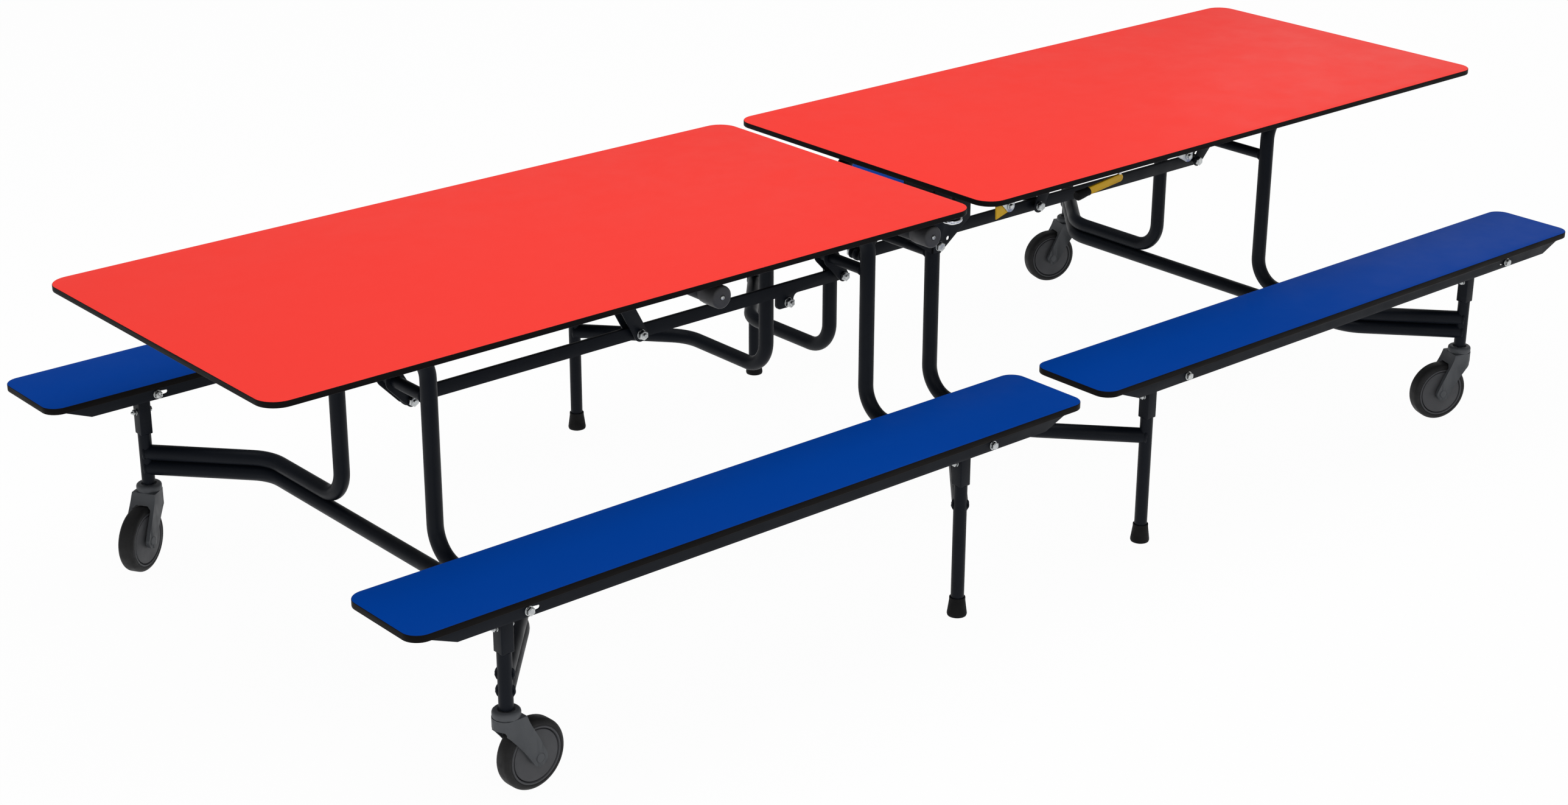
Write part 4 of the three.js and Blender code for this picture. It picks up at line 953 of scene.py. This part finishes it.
def zinc_lug(name, x, level, tail):
    """A zinc plate hanging from a folded foot under the top, round at its bolt and drawn to a tail."""
    under = TOP_UNDERSIDE - CLEARANCE
    front = -LATCH_LINE - LUG_FRONT
    outline = [(x + LUG_EYE, under), (x - tail, under)] + arc(x, level, LUG_EYE, 232, 360, 16)
    lug = plate(name, outline, front, front + LUG_WALL, LUG_RIM)
    foot = block(
        name + "_foot", (x - tail, front, under - LUG_WALL), (x + LUG_EYE, front + LUG_FOOT, under), SHEET_RIM, 2)
    washer_profile = [(0, 0), (0.0078, 0), (0.0082, 0.0004), (0.0082, 0.0010), (0.0074, 0.0014), (0, 0.0014)]
    washer = spun(name + "_washer", washer_profile, (x, front, level), (0, -1, 0), 32)
    screw = placed(small_bolt, name + "_screw", (x, front - LUG_SCREW_SEAT, level), (0, -1, 0))
    return shade(coat(join(name, lug, foot, washer, screw), bright_zinc))


latch_lug = zinc_lug("latch_lug_plate", LATCH_X, LATCH_LEVEL + LATCH_LUG_RISE, LATCH_LUG_TAIL)
latch_pin = rod(
    "latch_pin", LATCH_PIN, (LATCH_X, -LATCH_LINE - 0.006, LATCH_LEVEL),
    (LATCH_X, -LATCH_LINE + 0.005, LATCH_LEVEL))
latch_lug = join("latch_lug_plate", latch_lug, coat(latch_pin, bright_zinc))
fit(latch_lug, "right_top", "zinc", "latch_lug")
fit(zinc_lug("outer_lug_plate", OUTER_LUG_X, OUTER_LUG_LEVEL, OUTER_LUG_TAIL), "right_top", "zinc")

hook_outline = (arc(LATCH_X, LATCH_LEVEL, HOOK_EYE, -60, 90, 10)
                + [(LATCH_X - 0.034, LATCH_LEVEL + HOOK_EYE), (LATCH_X - 0.033, LATCH_LEVEL - 0.0178)])
hook = plate("latch_hook", hook_outline, -LATCH_LINE - 0.0045, -LATCH_LINE - 0.0005, SHEET_RIM)
hook_bore = rod(
    "hook_bore", HOOK_BORE, (LATCH_X, -LATCH_LINE - 0.02, LATCH_LEVEL),
    (LATCH_X, -LATCH_LINE + 0.02, LATCH_LEVEL))
fit(shade(coat(carve(hook, hook_bore), yellow_paint)), "latch", "yellow_paint", "latch")

away = Vector((-math.cos(LEVER_SLOPE), 0, -math.sin(LEVER_SLOPE)))
lever_end = (
    LEVER_X - LEVER_LENGTH * math.cos(LEVER_SLOPE), LEVER_LEVEL - LEVER_LENGTH * math.sin(LEVER_SLOPE))
bar = plate(
    "lever_bar", link_outline((LEVER_X, LEVER_LEVEL), LEVER_EYE, lever_end, LEVER_TIP),
    -LEVER_LINE - LEVER_HALF, -LEVER_LINE + LEVER_HALF, LEVER_RIM)
stud = rod(
    "lever_stud", STUD, (LEVER_X, -LEVER_LINE, LEVER_LEVEL + STUD_START),
    (LEVER_X, -LEVER_LINE, TOP_UNDERSIDE - STUD_SHORT))
grip_profile = [
    (0, 0), (0.0078, 0), (0.0086, 0.0012), (0.0084, 0.004), (0.0081, 0.006), (0.0086, 0.010), (0.0094, 0.019),
    (0.0099, 0.029), (0.0096, 0.0318), (0.0082, 0.0336), (0.0050, 0.0340), (0, 0.0340)]
grip = spun("lever_grip", grip_profile, (lever_end[0], -LEVER_LINE, lever_end[1]), away, 36)
lever = join("lever_bar_and_grip", coat(bar, yellow_paint), coat(stud, bright_zinc), coat(grip, black_rubber))
fit(shade(lever, 38), "release_lever", "yellow_paint", "release_lever")


# A chrome dish under the near inner corner of the left top

dish_profile = [
    (0, 0.0194), (0.0110, 0.0194), (0.0110, 0.0140), (0.0171, 0.0142), (0.0200, 0.0128), (0.0207, 0.0105),
    (0.0200, 0.0080), (0.0171, 0.0055), (0.0108, 0.0026), (0.0045, 0.0008), (0, 0.0004)]
dish = spun("chrome_dish", dish_profile, (DISH_X, DISH_Y, TOP_UNDERSIDE - DISH_DROP), steps=56)
fit(shade(coat(dish, chrome), 60), "left_top", "zinc")


# The fasteners of each body become one piece

put_away(bolt, nut, bench_bolt, bench_nut, small_bolt, small_nut)
for body, pieces in fasteners.items():
    group = join(f"right_{body}_fasteners" if body == "centre_frame" else f"{body}_fasteners", *pieces)
    fit_both(group, body, "zinc")


# The solids that stay in sight are powder coated like the frame

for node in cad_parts.values():
    if not node.hide_render:
        coat(node, black_steel)


# Floor, light and camera. The floor glows white where it is seen and keeps a trace of the shadow.

FLOOR_SIZE, FLOOR_GREY, FLOOR_GLOW = 60, 0.86, 0.972
WORLD_STRENGTH = 0.35
FOCAL_PIXELS, PHOTO_PIXELS, SENSOR_WIDTH = 4444.23, 2576, 36
YAW, PITCH, ROLL = 0.7136, -0.38692, 0.00456
CAMERA_PLACE = (-3.421783, -3.758868, 2.245130)

start_clean()
bpy.ops.mesh.primitive_plane_add(size=FLOOR_SIZE, location=(0, 0, 0))
floor = bpy.context.object
floor.name = "studio_floor"
paper = bpy.data.materials.new("white_paper_floor")
paper.use_nodes = True
nodes, link = paper.node_tree.nodes, paper.node_tree.links.new
nodes.remove(nodes["Principled BSDF"])
diffuse = nodes.new("ShaderNodeBsdfDiffuse")
diffuse.inputs["Color"].default_value = (FLOOR_GREY, FLOOR_GREY, FLOOR_GREY, 1)
glow = nodes.new("ShaderNodeEmission")
glow.inputs["Strength"].default_value = 1.0
path = nodes.new("ShaderNodeLightPath")
direct = add_math(nodes, "MAXIMUM")
seen = add_math(nodes, "MAXIMUM")
share = add_math(nodes, "MULTIPLY")
share.inputs[1].default_value = FLOOR_GLOW
blend = nodes.new("ShaderNodeMixShader")
link(path.outputs["Is Camera Ray"], direct.inputs[0])
link(path.outputs["Is Glossy Ray"], direct.inputs[1])
link(direct.outputs[0], seen.inputs[0])
link(path.outputs["Is Transmission Ray"], seen.inputs[1])
link(seen.outputs[0], share.inputs[0])
link(share.outputs[0], blend.inputs[0])
link(diffuse.outputs[0], blend.inputs[1])
link(glow.outputs[0], blend.inputs[2])
link(blend.outputs[0], nodes["Material Output"].inputs["Surface"])
coat(floor, paper)

world = bpy.data.worlds.new("studio_air")
bpy.context.scene.world = world
world.use_nodes = True
world.node_tree.nodes["Background"].inputs["Color"].default_value = (1, 1, 1, 1)
world.node_tree.nodes["Background"].inputs["Strength"].default_value = WORLD_STRENGTH


def softbox(name, at, target, width, depth, power):
    bpy.ops.object.light_add(type="AREA", location=at)
    lamp = bpy.context.object
    lamp.name = name
    lamp.data.shape = "RECTANGLE"
    lamp.data.size = width
    lamp.data.size_y = depth
    lamp.data.energy = power
    lamp.rotation_euler = (Vector(target) - Vector(at)).to_track_quat("-Z", "Y").to_euler()


softbox("overhead_softbox", (0, 0, 4.2), (0, 0, 0), 6.0, 4.5, 130)
softbox("front_softbox", (-3.5, -4.5, 3.0), (0, 0, 0.4), 3.0, 2.0, 40)
softbox("right_softbox", (5.0, 1.5, 2.2), (0.6, 0, 0.4), 3.0, 2.4, 14)

forward = Vector((math.cos(PITCH) * math.sin(YAW), math.cos(PITCH) * math.cos(YAW), math.sin(PITCH)))
level = Vector((math.cos(YAW), -math.sin(YAW), 0))
upward = level.cross(forward)
right_way = math.cos(ROLL) * level + math.sin(ROLL) * upward
up_way = -math.sin(ROLL) * level + math.cos(ROLL) * upward
bpy.ops.object.camera_add()
camera = bpy.context.object
camera.name = "photo_camera"
camera.data.sensor_width = SENSOR_WIDTH
camera.data.sensor_fit = "HORIZONTAL"
camera.data.lens = FOCAL_PIXELS * SENSOR_WIDTH / PHOTO_PIXELS
camera.data.clip_end = 100
turn = Matrix((right_way, up_way, -forward)).transposed().to_4x4()
camera.matrix_world = Matrix.Translation(CAMERA_PLACE) @ turn
bpy.context.scene.camera = camera
bpy.context.scene.view_settings.view_transform = "Standard"
